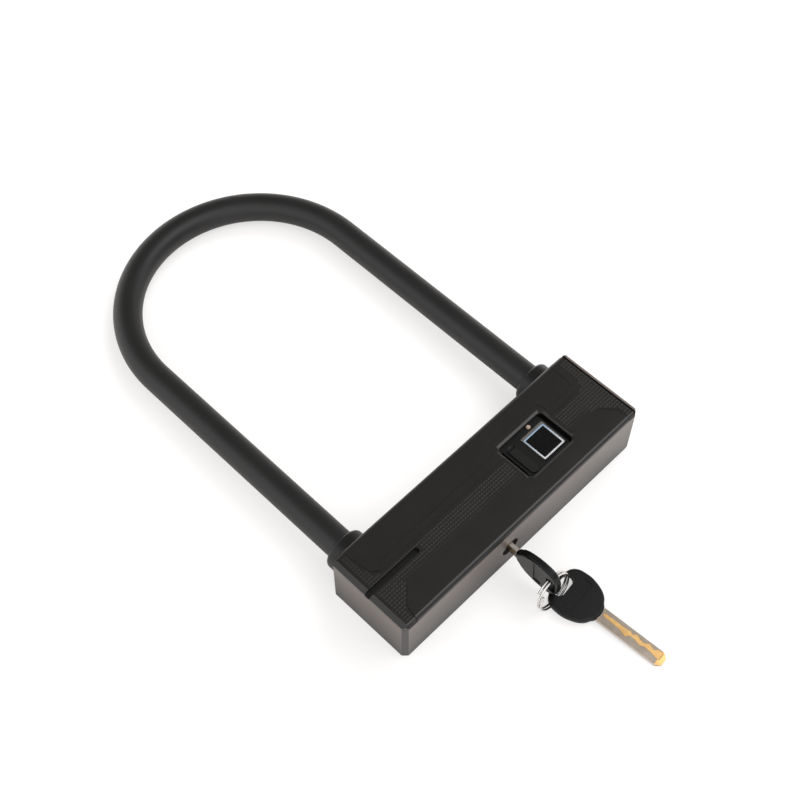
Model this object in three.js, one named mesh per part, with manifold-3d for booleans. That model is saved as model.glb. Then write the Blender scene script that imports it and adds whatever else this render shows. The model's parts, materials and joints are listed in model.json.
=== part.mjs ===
// A U lock with a fingerprint reader and an emergency key, at real size in millimetres.
// +X runs along the lock body, +Y towards the shackle's bend, +Z up; the origin is the centre of the
// body's underside.

import * as THREE from 'three';
import { mergeVertices } from 'three/addons/utils/BufferGeometryUtils.js';
import Module from 'manifold-3d';

const wasm = await Module();
wasm.setup();

// Driving dimensions of the whole lock
const bodyLength = 190;
const bodyWidth = 57;
const bodyHeight = 38;
const axisDrop = 0.5;
const legInset = 17.5;
const armLength = 168.8;
const coreRadius = 7;
const sleeveRadius = 9;
const keyAxisX = -12;
const windowInset = 57.75;
const windowY = -1.35;

// Clearances, and the overrun of cutting tools
const seatGap = 0.3;
const runGap = 0.3;
const overrun = 5;
const weldDistance = 0.001;

// Sides of round pieces, and a pill's end radius as a share of its width
const facets = { bore: 32, bar: 24, pin: 16 };
const pillShare = 0.4975;

// Places that follow from them
const halfLength = bodyLength / 2;
const halfWidth = bodyWidth / 2;
const legX = halfLength - legInset;
const bendRadius = legX;
const bendCentreY = halfWidth + armLength;
const windowX = halfLength - windowInset;

// Body shells
const caseWall = 3;
const deckThickness = 2;
const coverThickness = 3;
const gasketThickness = 0.4;
const cornerChamfer = 2.7;
// The cover slopes down at both ends, more at the left one, where the bracket's slot opens
const leftSlope = { length: 3, height: 1.7 };
const rightSlope = { length: 1.2, height: 1.2 };
const baseThickness = 2.4;
const coverFloorZ = bodyHeight - coverThickness;
const deckTopZ = coverFloorZ - gasketThickness;
const deckFloorZ = deckTopZ - deckThickness;
const axisHeight = (baseThickness + deckFloorZ) / 2 - axisDrop;
const cavityHalfLength = halfLength - caseWall;
const cavityHalfWidth = halfWidth - caseWall;

// Finishes: colour, roughness, metalness
const finishes = {
  case: [0x3a3735, 0.42, 0.8],
  cover: [0x282624, 0.6, 0.0],
  steel: [0x8f8c88, 0.38, 0.9],
  nickel: [0xb2a898, 0.3, 1.0],
  brass: [0xc79a55, 0.35, 1.0],
  rubber: [0x222222, 0.75, 0.0],
  black: [0x18181a, 0.5, 0.0],
  glass: [0x050507, 0.12, 0.0],
  light: [0xdce6f2, 0.4, 0.0],
  board: [0x1d5a34, 0.55, 0.0],
  amber: [0xe8d5c0, 0.3, 0.0],
  battery: [0x3d5f8a, 0.45, 0.0],
};

const lock = new THREE.Group();
lock.name = 'u_lock';

// Helpers

function piece(name, geometry, finish, parent = lock) {
  const [color, roughness, metalness] = finishes[finish];
  const mesh = new THREE.Mesh(geometry, new THREE.MeshStandardMaterial({ color, roughness, metalness }));
  mesh.name = name;
  parent.add(mesh);
  return mesh;
}

function toSolid(geometry) {
  const bare = geometry.clone();
  bare.deleteAttribute('normal');
  bare.deleteAttribute('uv');
  const merged = mergeVertices(bare, weldDistance);
  return new wasm.Manifold(new wasm.Mesh({
    numProp: 3,
    vertProperties: new Float32Array(merged.attributes.position.array),
    triVerts: new Uint32Array(merged.index.array),
  }));
}

function toGeometry(solid) {
  const mesh = solid.getMesh();
  const geometry = new THREE.BufferGeometry();
  geometry.setAttribute('position', new THREE.BufferAttribute(mesh.vertProperties, 3));
  geometry.setIndex(new THREE.BufferAttribute(mesh.triVerts, 1));
  geometry.computeVertexNormals();
  return geometry;
}

function cut(body, ...tools) {
  return toGeometry(tools.reduce((solid, tool) => solid.subtract(toSolid(tool)), toSolid(body)));
}

function join(body, ...others) {
  return toGeometry(others.reduce((solid, other) => solid.add(toSolid(other)), toSolid(body)));
}

function common(body, ...others) {
  return toGeometry(others.reduce((solid, other) => solid.intersect(toSolid(other)), toSolid(body)));
}

// A box from its low and high corner
function block(low, high) {
  const size = high.map((value, axis) => value - low[axis]);
  const centre = high.map((value, axis) => (value + low[axis]) / 2);
  return new THREE.BoxGeometry(...size).translate(...centre);
}

// A box around a centre
function blockAt(centre, size) {
  return new THREE.BoxGeometry(...size).translate(...centre);
}

// A round bar along Y between two places
function barY(radius, fromY, toY, x = 0, z = 0, sides = facets.bore) {
  return new THREE.CylinderGeometry(radius, radius, toY - fromY, sides)
    .translate(x, (fromY + toY) / 2, z);
}

// A round bar along Z between two heights
function barZ(radius, fromZ, toZ, x = 0, y = 0, sides = facets.pin) {
  return new THREE.CylinderGeometry(radius, radius, toZ - fromZ, sides)
    .rotateX(Math.PI / 2)
    .translate(x, y, (fromZ + toZ) / 2);
}

function outline(points) {
  return new THREE.Shape(points.map(([x, y]) => new THREE.Vector2(x, y)));
}

// An outline in X and Y, raised from one height to another
function slabZ(shape, fromZ, toZ, curveSegments = 6) {
  return new THREE.ExtrudeGeometry(shape, { depth: toZ - fromZ, bevelEnabled: false, curveSegments })
    .translate(0, 0, fromZ);
}

// An outline in X and Z, carried along Y
function slabY(shape, fromY, toY, curveSegments = 6) {
  return new THREE.ExtrudeGeometry(shape, { depth: toY - fromY, bevelEnabled: false, curveSegments })
    .rotateX(Math.PI / 2)
    .translate(0, toY, 0);
}

// An outline in Y and Z, carried along X
function slabX(shape, fromX, toX, curveSegments = 6) {
  const turn = new THREE.Matrix4().makeBasis(
    new THREE.Vector3(0, 1, 0), new THREE.Vector3(0, 0, 1), new THREE.Vector3(1, 0, 0));
  return new THREE.ExtrudeGeometry(shape, { depth: toX - fromX, bevelEnabled: false, curveSegments })
    .applyMatrix4(turn)
    .translate(fromX, 0, 0);
}

// The body's plan, a rectangle with chamfered corners, drawn in from the outside by an inset
function bodyPlan(inset = 0) {
  const x = halfLength - inset;
  const y = halfWidth - inset;
  const c = cornerChamfer;
  return outline([
    [-x + c, -y], [x - c, -y], [x, -y + c], [x, y - c],
    [x - c, y], [-x + c, y], [-x, y - c], [-x, -y + c],
  ]);
}

// A rectangle with round corners
function roundedRectangle(centreX, centreY, width, height, radius) {
  const x = width / 2 - radius;
  const y = height / 2 - radius;
  const quarter = Math.PI / 2;
  const shape = new THREE.Shape();
  shape.moveTo(centreX + x + radius, centreY - y);
  shape.absarc(centreX + x, centreY + y, radius, 0, quarter, false);
  shape.absarc(centreX - x, centreY + y, radius, quarter, 2 * quarter, false);
  shape.absarc(centreX - x, centreY - y, radius, 2 * quarter, 3 * quarter, false);
  shape.absarc(centreX + x, centreY - y, radius, 3 * quarter, 4 * quarter, false);
  return shape;
}

function pill(centreX, centreY, width, length) {
  return roundedRectangle(centreX, centreY, width, length, Math.min(width, length) * pillShare);
}

function circle(radius) {
  return new THREE.Shape().absarc(0, 0, radius, 0, 2 * Math.PI, false);
}

// A body turned about its axis from a closed profile of radius and height
function turned(profile, sides) {
  return new THREE.LatheGeometry(profile.map(([r, height]) => new THREE.Vector2(r, height)), sides);
}

// The four places at plus and minus x and y
function corners(x, y) {
  return [[-x, -y], [x, -y], [x, y], [-x, y]];
}

// Sizes and places that more than one piece reads

const sockets = { radius: 10, depth: 34, bottomThickness: 3, endPlay: 0.5 };
sockets.bottomY = halfWidth - sockets.depth;

const bases = {
  screwInset: 24, wallInset: 5, headRadius: 2.9, shankRadius: 1.4, headHeight: 1.5,
  bossWidth: 7, hexRadius: 1.2, hexDepth: 1, hexSides: 6, topGap: 1.2,
};
bases.screwX = halfLength - bases.screwInset;
bases.screwY = cavityHalfWidth - bases.wallInset;
bases.length = axisHeight - sockets.radius - bases.topGap;

const covers = {
  screwInset: 31, wallInset: 5.5, headRadius: 1.9, shankRadius: 0.9, headHeight: 1.2, bite: 2,
};
covers.screwX = halfLength - covers.screwInset;
covers.screwY = cavityHalfWidth - covers.wallInset;

const cylinder = { housingRadius: 9, plugRadius: 5.8, faceRecess: 1.5, tailGap: 0.2 };
const windows = { width: 36.5, depth: 26, radius: 3 };

// The tray hangs under the deck by its flange, and fills the window's opening
const trays = { border: 0.6, flange: 3.2, flangeThickness: 1.1 };
trays.topZ = coverFloorZ - seatGap;
trays.flangeTopZ = deckFloorZ - seatGap;
trays.flangeFloorZ = trays.flangeTopZ - trays.flangeThickness;
trays.halfX = windows.width / 2 + trays.border;
trays.halfY = windows.depth / 2 + trays.border;

const sensor = {
  offsetX: 5.95, offsetY: -1.4, bezel: 17.6, pocket: 16.8, ring: 16.4, glass: 13.6, module: 13,
  bezelRadius: 1, pocketRadius: 0.8, ringRadius: 0.7, glassRadius: 0.4,
  seatDepth: 0.4, bezelProud: 1.4, ringProud: 1.5,
};
sensor.x = windowX + sensor.offsetX;
sensor.y = windowY + sensor.offsetY;
sensor.seatZ = trays.topZ - sensor.seatDepth;

const sensorBoard = { thickness: 1.2 };
sensorBoard.topZ = trays.flangeFloorZ;
sensorBoard.floorZ = sensorBoard.topZ - sensorBoard.thickness;

const lens = { offsetX: 6.55, offsetY: 11.45, radius: 1.5, proud: 0.6, steps: 4 };
lens.x = windowX + lens.offsetX;
lens.y = windowY + lens.offsetY;

const flap = { offsetX: -11.35, offsetY: -0.85, width: 7.6, length: 22, thickness: 1.2, plugDepth: 1.4 };
flap.x = windowX + flap.offsetX;
flap.y = windowY + flap.offsetY;

// Case: a steel channel, closed on top by its deck and open below

function makeCase() {
  const shell = slabZ(bodyPlan(), 0, deckTopZ);
  const cavity = block(
    [-cavityHalfLength, -cavityHalfWidth, -overrun],
    [cavityHalfLength, cavityHalfWidth, deckFloorZ]);
  const holeX = 2 * (trays.halfX + seatGap);
  const holeY = 2 * (trays.halfY + seatGap);
  const deckHole = slabZ(
    roundedRectangle(windowX, windowY, holeX, holeY, windows.radius),
    deckFloorZ - overrun, deckTopZ + overrun);
  const keyhole = barY(
    cylinder.plugRadius + runGap, -halfWidth - overrun, -cavityHalfWidth + overrun, keyAxisX, axisHeight);
  const legHoles = [-1, 1].map((side) => barY(
    sockets.radius + seatGap, cavityHalfWidth - overrun, halfWidth + overrun, side * legX, axisHeight));
  const coverScrewHoles = corners(covers.screwX, covers.screwY).map(([x, y]) => barZ(
    covers.shankRadius + seatGap, deckFloorZ - overrun, deckTopZ + overrun, x, y));
  const hollow = cut(shell, cavity, deckHole, keyhole, ...legHoles, ...coverScrewHoles);
  // Bosses on the long walls take the screws of the base plate
  const bossTopZ = bases.length + seatGap;
  const places = corners(bases.screwX, bases.screwY);
  const bosses = places.map(([x, y]) => {
    const wallY = Math.sign(y) * (cavityHalfWidth + caseWall / 2);
    const innerY = y - Math.sign(y) * bases.bossWidth / 2;
    return block(
      [x - bases.bossWidth / 2, Math.min(innerY, wallY), baseThickness],
      [x + bases.bossWidth / 2, Math.max(innerY, wallY), bossTopZ]);
  });
  const threads = places.map(([x, y]) => barZ(
    bases.shankRadius + seatGap, -overrun, bossTopZ + overrun, x, y));
  return cut(join(hollow, ...bosses), ...threads);
}

// Countersunk screw with a hexagon socket, its head facing down at height zero
function makeBaseScrew() {
  const profile = [
    [0, 0], [bases.headRadius, 0], [bases.shankRadius, bases.headHeight],
    [bases.shankRadius, bases.length], [0, bases.length],
  ];
  const hexagon = barZ(bases.hexRadius, -overrun, bases.hexDepth, 0, 0, bases.hexSides);
  return cut(turned(profile, facets.pin).rotateX(Math.PI / 2), hexagon);
}

function makeBasePlate() {
  const plate = block(
    [-cavityHalfLength + seatGap, -cavityHalfWidth + seatGap, 0],
    [cavityHalfLength - seatGap, cavityHalfWidth - seatGap, baseThickness]);
  const headRadius = bases.headRadius + seatGap;
  const shankRadius = bases.shankRadius + seatGap;
  const slope = (bases.headRadius - bases.shankRadius) / bases.headHeight;
  const profile = [
    [0, -overrun], [headRadius + slope * overrun, -overrun], [shankRadius, bases.headHeight],
    [shankRadius, baseThickness + overrun], [0, baseThickness + overrun],
  ];
  const sinks = corners(bases.screwX, bases.screwY).map(([x, y]) => turned(profile, facets.pin)
    .rotateX(Math.PI / 2)
    .translate(x, y, 0));
  return cut(plate, ...sinks);
}

piece('case', makeCase(), 'case');
piece('base_plate', makeBasePlate(), 'case');
corners(bases.screwX, bases.screwY).forEach(([x, y], index) => {
  piece(`base_screw_${index + 1}`, makeBaseScrew(), 'steel').position.set(x, y, 0);
});

// Top cover: a black moulding with a sunk textured band between two smooth panels

const cover = { bandSink: 0.3, gasketOuterInset: 1.5, gasketInnerInset: 5 };
// Corners of the sunk band, as shares of the half length and the half width, anticlockwise
const bandShares = [
  [-0.905, -0.89], [-0.884, -0.67], [-0.795, -0.385], [0.837, -0.385], [0.926, -0.7], [0.916, -0.89],
  [0.96, -0.89], [0.96, 0.89], [0.879, 0.89], [0.895, 0.32], [0.847, 0.2], [-0.837, 0.2], [-0.884, 0.3],
  [-0.905, 0.89], [-0.96, 0.89], [-0.96, -0.89],
];
// A slot for a bracket runs in from the left end
const groove = { width: 3.6, length: 39, y: 0.1 };

function makeCover() {
  const across = new THREE.Shape();
  const quarter = Math.PI / 2;
  across.moveTo(-halfWidth, coverFloorZ);
  across.absarc(-halfWidth + coverThickness, coverFloorZ, coverThickness, 2 * quarter, quarter, true);
  across.absarc(halfWidth - coverThickness, coverFloorZ, coverThickness, quarter, 0, true);
  const along = outline([
    [-halfLength, coverFloorZ], [halfLength, coverFloorZ], [halfLength, bodyHeight - rightSlope.height],
    [halfLength - rightSlope.length, bodyHeight], [-halfLength + leftSlope.length, bodyHeight],
    [-halfLength, bodyHeight - leftSlope.height],
  ]);
  const blank = common(
    slabX(across, -halfLength, halfLength),
    slabY(along, -halfWidth, halfWidth),
    slabZ(bodyPlan(), coverFloorZ, bodyHeight));
  const band = slabZ(
    outline(bandShares.map(([x, y]) => [x * halfLength, y * halfWidth])),
    bodyHeight - cover.bandSink, bodyHeight + overrun);
  const opening = slabZ(
    roundedRectangle(windowX, windowY, windows.width, windows.depth, windows.radius),
    coverFloorZ - overrun, bodyHeight + overrun);
  const slotLength = groove.length + overrun;
  const slot = slabZ(
    pill(-halfLength + groove.length - slotLength / 2, groove.y, slotLength, groove.width),
    coverFloorZ - overrun, bodyHeight + overrun);
  const holes = corners(covers.screwX, covers.screwY).map(([x, y]) => barZ(
    covers.shankRadius + seatGap, coverFloorZ - overrun, coverFloorZ + covers.bite + seatGap, x, y));
  return cut(blank, band, opening, slot, ...holes);
}

// Pan-head screw with its head below the deck
function makeCoverScrew() {
  const tipZ = coverFloorZ + covers.bite;
  const headFloorZ = deckFloorZ - covers.headHeight;
  const profile = [
    [0, headFloorZ], [covers.headRadius, headFloorZ], [covers.headRadius, deckFloorZ],
    [covers.shankRadius, deckFloorZ], [covers.shankRadius, tipZ], [0, tipZ],
  ];
  return turned(profile, facets.pin).rotateX(Math.PI / 2);
}

function makeGasket() {
  return cut(
    slabZ(bodyPlan(cover.gasketOuterInset), deckTopZ, coverFloorZ),
    slabZ(bodyPlan(cover.gasketInnerInset), deckTopZ - overrun, coverFloorZ + overrun));
}

piece('top_cover', makeCover(), 'cover');
piece('cover_gasket', makeGasket(), 'rubber');
corners(covers.screwX, covers.screwY).forEach(([x, y], index) => {
  piece(`cover_screw_${index + 1}`, makeCoverScrew(), 'steel').position.set(x, y, 0);
});

// Window: tray, fingerprint reader, status light and charging port

// Charging port, its long side along Y, mouth up under the flap
const port = {
  length: 9, width: 3.3, wall: 0.4, height: 6.4, floor: 0.8,
  tongue: { width: 0.8, length: 6, height: 3.8 },
};
port.topZ = trays.topZ - seatGap;
port.bottomZ = port.topZ - port.height;

function portOutline(grow) {
  return pill(flap.x, flap.y, port.width + 2 * grow, port.length + 2 * grow);
}

function makeTray() {
  const plug = slabZ(
    roundedRectangle(windowX, windowY, 2 * trays.halfX, 2 * trays.halfY, windows.radius),
    trays.flangeFloorZ, trays.topZ);
  const flangeX = trays.halfX + trays.flange;
  const flangeY = trays.halfY + trays.flange;
  const flange = block(
    [windowX - flangeX, windowY - flangeY, trays.flangeFloorZ],
    [windowX + flangeX, windowY + flangeY, trays.flangeTopZ]);
  const wellSide = sensor.bezel + 2 * seatGap;
  const well = block(
    [sensor.x - wellSide / 2, sensor.y - wellSide / 2, trays.flangeFloorZ - overrun],
    [sensor.x + wellSide / 2, sensor.y + wellSide / 2, trays.topZ + overrun]);
  const lensHole = barZ(
    lens.radius + seatGap, trays.flangeFloorZ - overrun, trays.topZ + overrun, lens.x, lens.y);
  const portHole = slabZ(portOutline(seatGap), trays.flangeFloorZ - overrun, trays.topZ + overrun);
  return cut(join(plug, flange), well, lensHole, portHole);
}

function makePort() {
  const shell = cut(
    slabZ(portOutline(0), port.bottomZ, port.topZ),
    slabZ(portOutline(-port.wall), port.bottomZ + port.floor, port.topZ + overrun));
  const tongue = blockAt(
    [flap.x, flap.y, port.bottomZ + port.tongue.height / 2],
    [port.tongue.width, port.tongue.length, port.tongue.height]);
  return join(shell, tongue);
}

// The tethered rubber flap turns about its end towards the shackle
function makeFlap() {
  const lid = slabZ(
    pill(flap.x, flap.y, flap.width, flap.length), trays.topZ, trays.topZ + flap.thickness, 8);
  const stub = slabZ(portOutline(-port.wall - seatGap), trays.topZ - flap.plugDepth, trays.topZ);
  return join(lid, stub);
}

function sensorSquare(side, radius) {
  return roundedRectangle(sensor.x, sensor.y, side, side, radius);
}

function makeBezel() {
  const rimZ = trays.topZ + sensor.bezelProud;
  const throatSide = sensor.module + 2 * seatGap;
  const full = slabZ(sensorSquare(sensor.bezel, sensor.bezelRadius), sensorBoard.topZ, rimZ);
  const pocket = slabZ(sensorSquare(sensor.pocket, sensor.pocketRadius), sensor.seatZ, rimZ + overrun);
  const throat = block(
    [sensor.x - throatSide / 2, sensor.y - throatSide / 2, sensorBoard.topZ - overrun],
    [sensor.x + throatSide / 2, sensor.y + throatSide / 2, rimZ + overrun]);
  return cut(full, pocket, throat);
}

function makeLightRing() {
  const topZ = trays.topZ + sensor.ringProud;
  const inner = sensorSquare(sensor.glass + 2 * seatGap, sensor.glassRadius);
  return cut(
    slabZ(sensorSquare(sensor.ring, sensor.ringRadius), sensor.seatZ, topZ),
    slabZ(inner, sensor.seatZ - overrun, topZ + overrun));
}

function makeSensorGlass() {
  return slabZ(
    sensorSquare(sensor.glass, sensor.glassRadius), sensor.seatZ, trays.topZ + sensor.bezelProud);
}

function makeSensorModule() {
  const height = sensor.seatZ - sensorBoard.topZ;
  return blockAt(
    [sensor.x, sensor.y, sensorBoard.topZ + height / 2], [sensor.module, sensor.module, height]);
}

function makeSensorBoard() {
  const board = block(
    [windowX - trays.halfX, windowY - trays.halfY, sensorBoard.floorZ],
    [windowX + trays.halfX, windowY + trays.halfY, sensorBoard.topZ]);
  return cut(board, slabZ(portOutline(seatGap), sensorBoard.floorZ - overrun, sensorBoard.topZ + overrun));
}

function makeLens() {
  const profile = [[0, sensorBoard.topZ], [lens.radius, sensorBoard.topZ]];
  for (let i = 0; i < lens.steps; i += 1) {
    const angle = (i / lens.steps) * (Math.PI / 2);
    profile.push([lens.radius * Math.cos(angle), trays.topZ + lens.proud * Math.sin(angle)]);
  }
  profile.push([0, trays.topZ + lens.proud]);
  return turned(profile, facets.pin).rotateX(Math.PI / 2).translate(lens.x, lens.y, 0);
}

piece('window_tray', makeTray(), 'black');
piece('sensor_bezel', makeBezel(), 'cover');
piece('light_ring', makeLightRing(), 'light');
piece('sensor_glass', makeSensorGlass(), 'glass');
piece('sensor_module', makeSensorModule(), 'steel');
piece('sensor_board', makeSensorBoard(), 'board');
piece('status_lens', makeLens(), 'amber');
piece('charge_socket', makePort(), 'steel');
piece('charge_flap', makeFlap(), 'rubber');

// Shackle: a steel bar bent to a U, in a rubber sleeve, its two notched legs in the body

// The teeth are as large as the drive gear's room above the base plate allows
const addendumShare = 0.8;
const dedendumShare = 1.05;
const pressureAngle = 20 * Math.PI / 180;
const gearing = { floorGap: 1.96, pinionTeeth: 10, driveTeeth: 30, motorTeeth: 16, backlash: 0.16 };
gearing.room = axisHeight - baseThickness - gearing.floorGap;
gearing.module = gearing.room / (gearing.driveTeeth / 2 + addendumShare);
gearing.addendum = addendumShare * gearing.module;
gearing.dedendum = dedendumShare * gearing.module;
gearing.pinionRadius = gearing.pinionTeeth * gearing.module / 2;

// At rest the bolts are drawn in; a quarter turn of the pinion puts their noses into the notches
const bolt = { wallDistance: 9.9, depth: 7, height: 8, retreat: 1 };
bolt.y = cavityHalfWidth - bolt.wallDistance;
bolt.tipX = legX - coreRadius - bolt.retreat;
bolt.travel = gearing.pinionRadius * Math.PI / 2;
bolt.lockedX = bolt.tipX + bolt.travel;

const collar = { radius: 13, length: 9.5, rounding: 1.6, steps: 4, sealLength: 1.6 };
const leg = { bendSteps: 28, coreSides: 20, sleeveSides: 24 };
leg.endY = sockets.bottomY + sockets.bottomThickness + sockets.endPlay;
leg.sleeveEndY = halfWidth + collar.sealLength + sockets.endPlay;

class ShacklePath extends THREE.Curve {
  constructor(footY) {
    super();
    this.footY = footY;
    this.spans = leg.bendSteps + 2;
  }

  place(t) {
    const station = t * this.spans;
    const arm = bendCentreY - this.footY;
    if (station < 1) {
      return { angle: Math.PI, y: this.footY + arm * station };
    }
    if (station > this.spans - 1) {
      return { angle: 0, y: this.footY + arm * (this.spans - station) };
    }
    return { angle: Math.PI * (1 - (station - 1) / leg.bendSteps), y: bendCentreY };
  }

  getPoint(t, target = new THREE.Vector3()) {
    const { angle, y } = this.place(t);
    return target.set(bendRadius * Math.cos(angle), y + bendRadius * Math.sin(angle), axisHeight);
  }

  getTangent(t, target = new THREE.Vector3()) {
    const { angle } = this.place(t);
    return target.set(Math.sin(angle), -Math.cos(angle), 0);
  }

  getPointAt(u, target) {
    return this.getPoint(u, target);
  }

  getTangentAt(u, target) {
    return this.getTangent(u, target);
  }
}

function bentBar(radius, footY, sides) {
  const path = new ShacklePath(footY);
  return new THREE.ExtrudeGeometry(circle(radius), {
    steps: path.spans, bevelEnabled: false, extrudePath: path, curveSegments: sides / 2,
  });
}

function makeCore() {
  const notchFromX = legX - coreRadius - overrun;
  const notchToX = bolt.lockedX + runGap;
  const notches = [-1, 1].map((side) => blockAt(
    [side * (notchFromX + notchToX) / 2, bolt.y, axisHeight],
    [notchToX - notchFromX, bolt.depth + 2 * runGap, bolt.height + 2 * runGap]));
  return cut(bentBar(coreRadius, leg.endY, leg.coreSides), ...notches);
}

piece('shackle_core', makeCore(), 'steel');
piece('shackle_sleeve', cut(
  bentBar(sleeveRadius, leg.sleeveEndY, leg.sleeveSides),
  bentBar(coreRadius + seatGap, leg.sleeveEndY - overrun, leg.coreSides)), 'rubber');

// Sockets for the legs, with their outside collars and seals

function makeCollar() {
  const boreRadius = sleeveRadius + seatGap;
  const endY = halfWidth + collar.length;
  const profile = [[boreRadius, halfWidth], [collar.radius, halfWidth]];
  for (let i = 0; i <= collar.steps; i += 1) {
    const angle = (i / collar.steps) * (Math.PI / 2);
    profile.push([
      collar.radius - collar.rounding * (1 - Math.cos(angle)),
      endY - collar.rounding * (1 - Math.sin(angle)),
    ]);
  }
  profile.push([boreRadius, endY], [boreRadius, halfWidth]);
  return turned(profile, facets.bore);
}

function ringY(innerRadius, outerRadius, fromY, toY) {
  const profile = [
    [innerRadius, fromY], [outerRadius, fromY], [outerRadius, toY], [innerRadius, toY],
    [innerRadius, fromY],
  ];
  return turned(profile, facets.bore);
}

function makeSocket(side) {
  const tube = barY(sockets.radius, sockets.bottomY, halfWidth - seatGap);
  const bore = barY(
    coreRadius + runGap, sockets.bottomY + sockets.bottomThickness, halfWidth + overrun, 0, 0, facets.bar);
  const boltHole = blockAt(
    [-side * sockets.radius, bolt.y, 0],
    [2 * (sockets.radius - coreRadius / 2), bolt.depth + 2 * runGap, bolt.height + 2 * runGap]);
  return cut(tube, bore, boltHole);
}

for (const [name, side] of [['left', -1], ['right', 1]]) {
  piece(`collar_${name}`, makeCollar(), 'black').position.set(side * legX, 0, axisHeight);
  piece(`seal_${name}`, ringY(
    coreRadius + runGap, sleeveRadius, halfWidth, halfWidth + collar.sealLength),
  'rubber').position.set(side * legX, 0, axisHeight);
  piece(`socket_${name}`, makeSocket(side), 'steel').position.set(side * legX, 0, axisHeight);
}

// Bolts: two racks on opposite sides of one pinion, which drive the bolts apart

// A spur gear's outline from its teeth's involutes; the first tooth points along the given angle
function gearShape(teeth, firstAngle) {
  const pitchRadius = teeth * gearing.module / 2;
  const baseRadius = pitchRadius * Math.cos(pressureAngle);
  const rootRadius = pitchRadius - gearing.dedendum;
  const tipRadius = pitchRadius + gearing.addendum;
  const involute = (angle) => Math.tan(angle) - angle;
  const halfTooth = Math.PI / (2 * teeth) - gearing.backlash / (2 * pitchRadius);
  const halfAngleAt = (radius) => {
    const roll = Math.acos(Math.min(1, baseRadius / Math.max(radius, baseRadius)));
    return halfTooth + involute(pressureAngle) - involute(roll);
  };
  const radii = [rootRadius, Math.max(baseRadius, rootRadius), pitchRadius, tipRadius];
  const flank = radii.map((radius) => [radius, halfAngleAt(radius)]);
  const points = [];
  for (let tooth = 0; tooth < teeth; tooth += 1) {
    const middle = firstAngle + tooth * 2 * Math.PI / teeth;
    const corner = ([radius, half], side) => [
      radius * Math.cos(middle + side * half), radius * Math.sin(middle + side * half)];
    points.push(...flank.map((f) => corner(f, -1)), ...[...flank].reverse().map((f) => corner(f, 1)));
  }
  return outline(points);
}

// The toothed edge of a rack along X, with a gap at x = 0 on the pitch line at height zero, teeth down
function rackEdge(fromX, toX) {
  const pitch = Math.PI * gearing.module;
  const slope = Math.tan(pressureAngle);
  const halfAtPitch = pitch / 4 - gearing.backlash / 2;
  const halfTip = halfAtPitch - gearing.addendum * slope;
  const halfRoot = halfAtPitch + gearing.dedendum * slope;
  const points = [];
  const first = Math.ceil((fromX + halfRoot) / pitch - 0.5);
  const last = Math.floor((toX - halfRoot) / pitch - 0.5);
  for (let index = first; index <= last; index += 1) {
    const middle = (index + 0.5) * pitch;
    points.push(
      [middle - halfRoot, gearing.dedendum], [middle - halfTip, -gearing.addendum],
      [middle + halfTip, -gearing.addendum], [middle + halfRoot, gearing.dedendum]);
  }
  return points;
}

const rack = { floorGap: 2.46, ledge: 2, reachBack: 12, reachOn: 4.5, webLength: 6, headLength: 30 };
rack.pitchHeight = gearing.pinionRadius;
rack.rootHeight = rack.pitchHeight + gearing.dedendum;
rack.topHeight = axisHeight - baseThickness - rack.floorGap - rack.ledge - runGap;

// A bolt with its rack above the pinion and its nose towards +X; the other bolt is this one turned over
function makeBolt(axisX) {
  const rootZ = rack.rootHeight;
  const topZ = rack.topHeight;
  const noseX = bolt.tipX - axisX;
  const headX = noseX - rack.headLength;
  const teeth = rackEdge(-rack.reachBack, rack.reachOn).map(([x, z]) => [x, z + rack.pitchHeight]);
  const shape = outline([
    [-rack.reachBack, topZ], [-rack.reachBack, rootZ],
    ...teeth,
    [headX, rootZ], [headX, -bolt.height / 2], [noseX, -bolt.height / 2], [noseX, bolt.height / 2],
    [headX + rack.webLength, bolt.height / 2], [headX + rack.webLength, topZ],
  ]);
  return slabY(shape, bolt.y - bolt.depth / 2, bolt.y + bolt.depth / 2);
}

piece('bolt_right', makeBolt(keyAxisX), 'steel').position.set(keyAxisX, 0, axisHeight);
const leftBolt = piece('bolt_left', makeBolt(-keyAxisX), 'steel');
leftBolt.position.set(keyAxisX, 0, axisHeight);
leftBolt.rotation.y = Math.PI;

const guide = { legDistance: 20, width: 9, wall: 2.4 };

function makeGuide() {
  const topZ = axisHeight + bolt.height / 2 + runGap + guide.wall;
  const halfY = bolt.depth / 2 + runGap;
  const solid = block(
    [-guide.width / 2, bolt.y - halfY - guide.wall, baseThickness],
    [guide.width / 2, bolt.y + halfY + guide.wall, topZ]);
  return cut(solid, blockAt(
    [0, bolt.y, axisHeight], [2 * guide.width, 2 * halfY, bolt.height + 2 * runGap]));
}

for (const [name, side] of [['left', -1], ['right', 1]]) {
  const x = side * (legX - guide.legDistance);
  piece(`bolt_guide_${name}`, makeGuide(), 'steel').position.set(x, 0, 0);
}

// Pinion, drive gear and the plates that carry them

const bearing = { shaftRadius: 2.5, bushWall: 1.4, plateThickness: 1.5, driveWidth: 2.5, shaftOverlap: 1 };
bearing.pinionFromY = bolt.y - bolt.depth / 2;
bearing.pinionToY = bolt.y + bolt.depth / 2;
bearing.driveFromY = bearing.pinionToY + runGap;
bearing.driveToY = bearing.driveFromY + bearing.driveWidth;
bearing.plateFromY = bearing.driveToY + runGap;
bearing.plateToY = bearing.plateFromY + bearing.plateThickness;
bearing.shaftToY = bearing.plateToY + bearing.plateThickness / 2;
const flatShare = 0.72;
const wheel = { holes: 6, holeRadius: 2.4, holeCircle: 7 };

const tail = { width: 3.2, thickness: 1.8, discThickness: 1.2, discRadius: 7.2, reach: 4 };
const keyRoll = 5.5 * Math.PI / 180;

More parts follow.
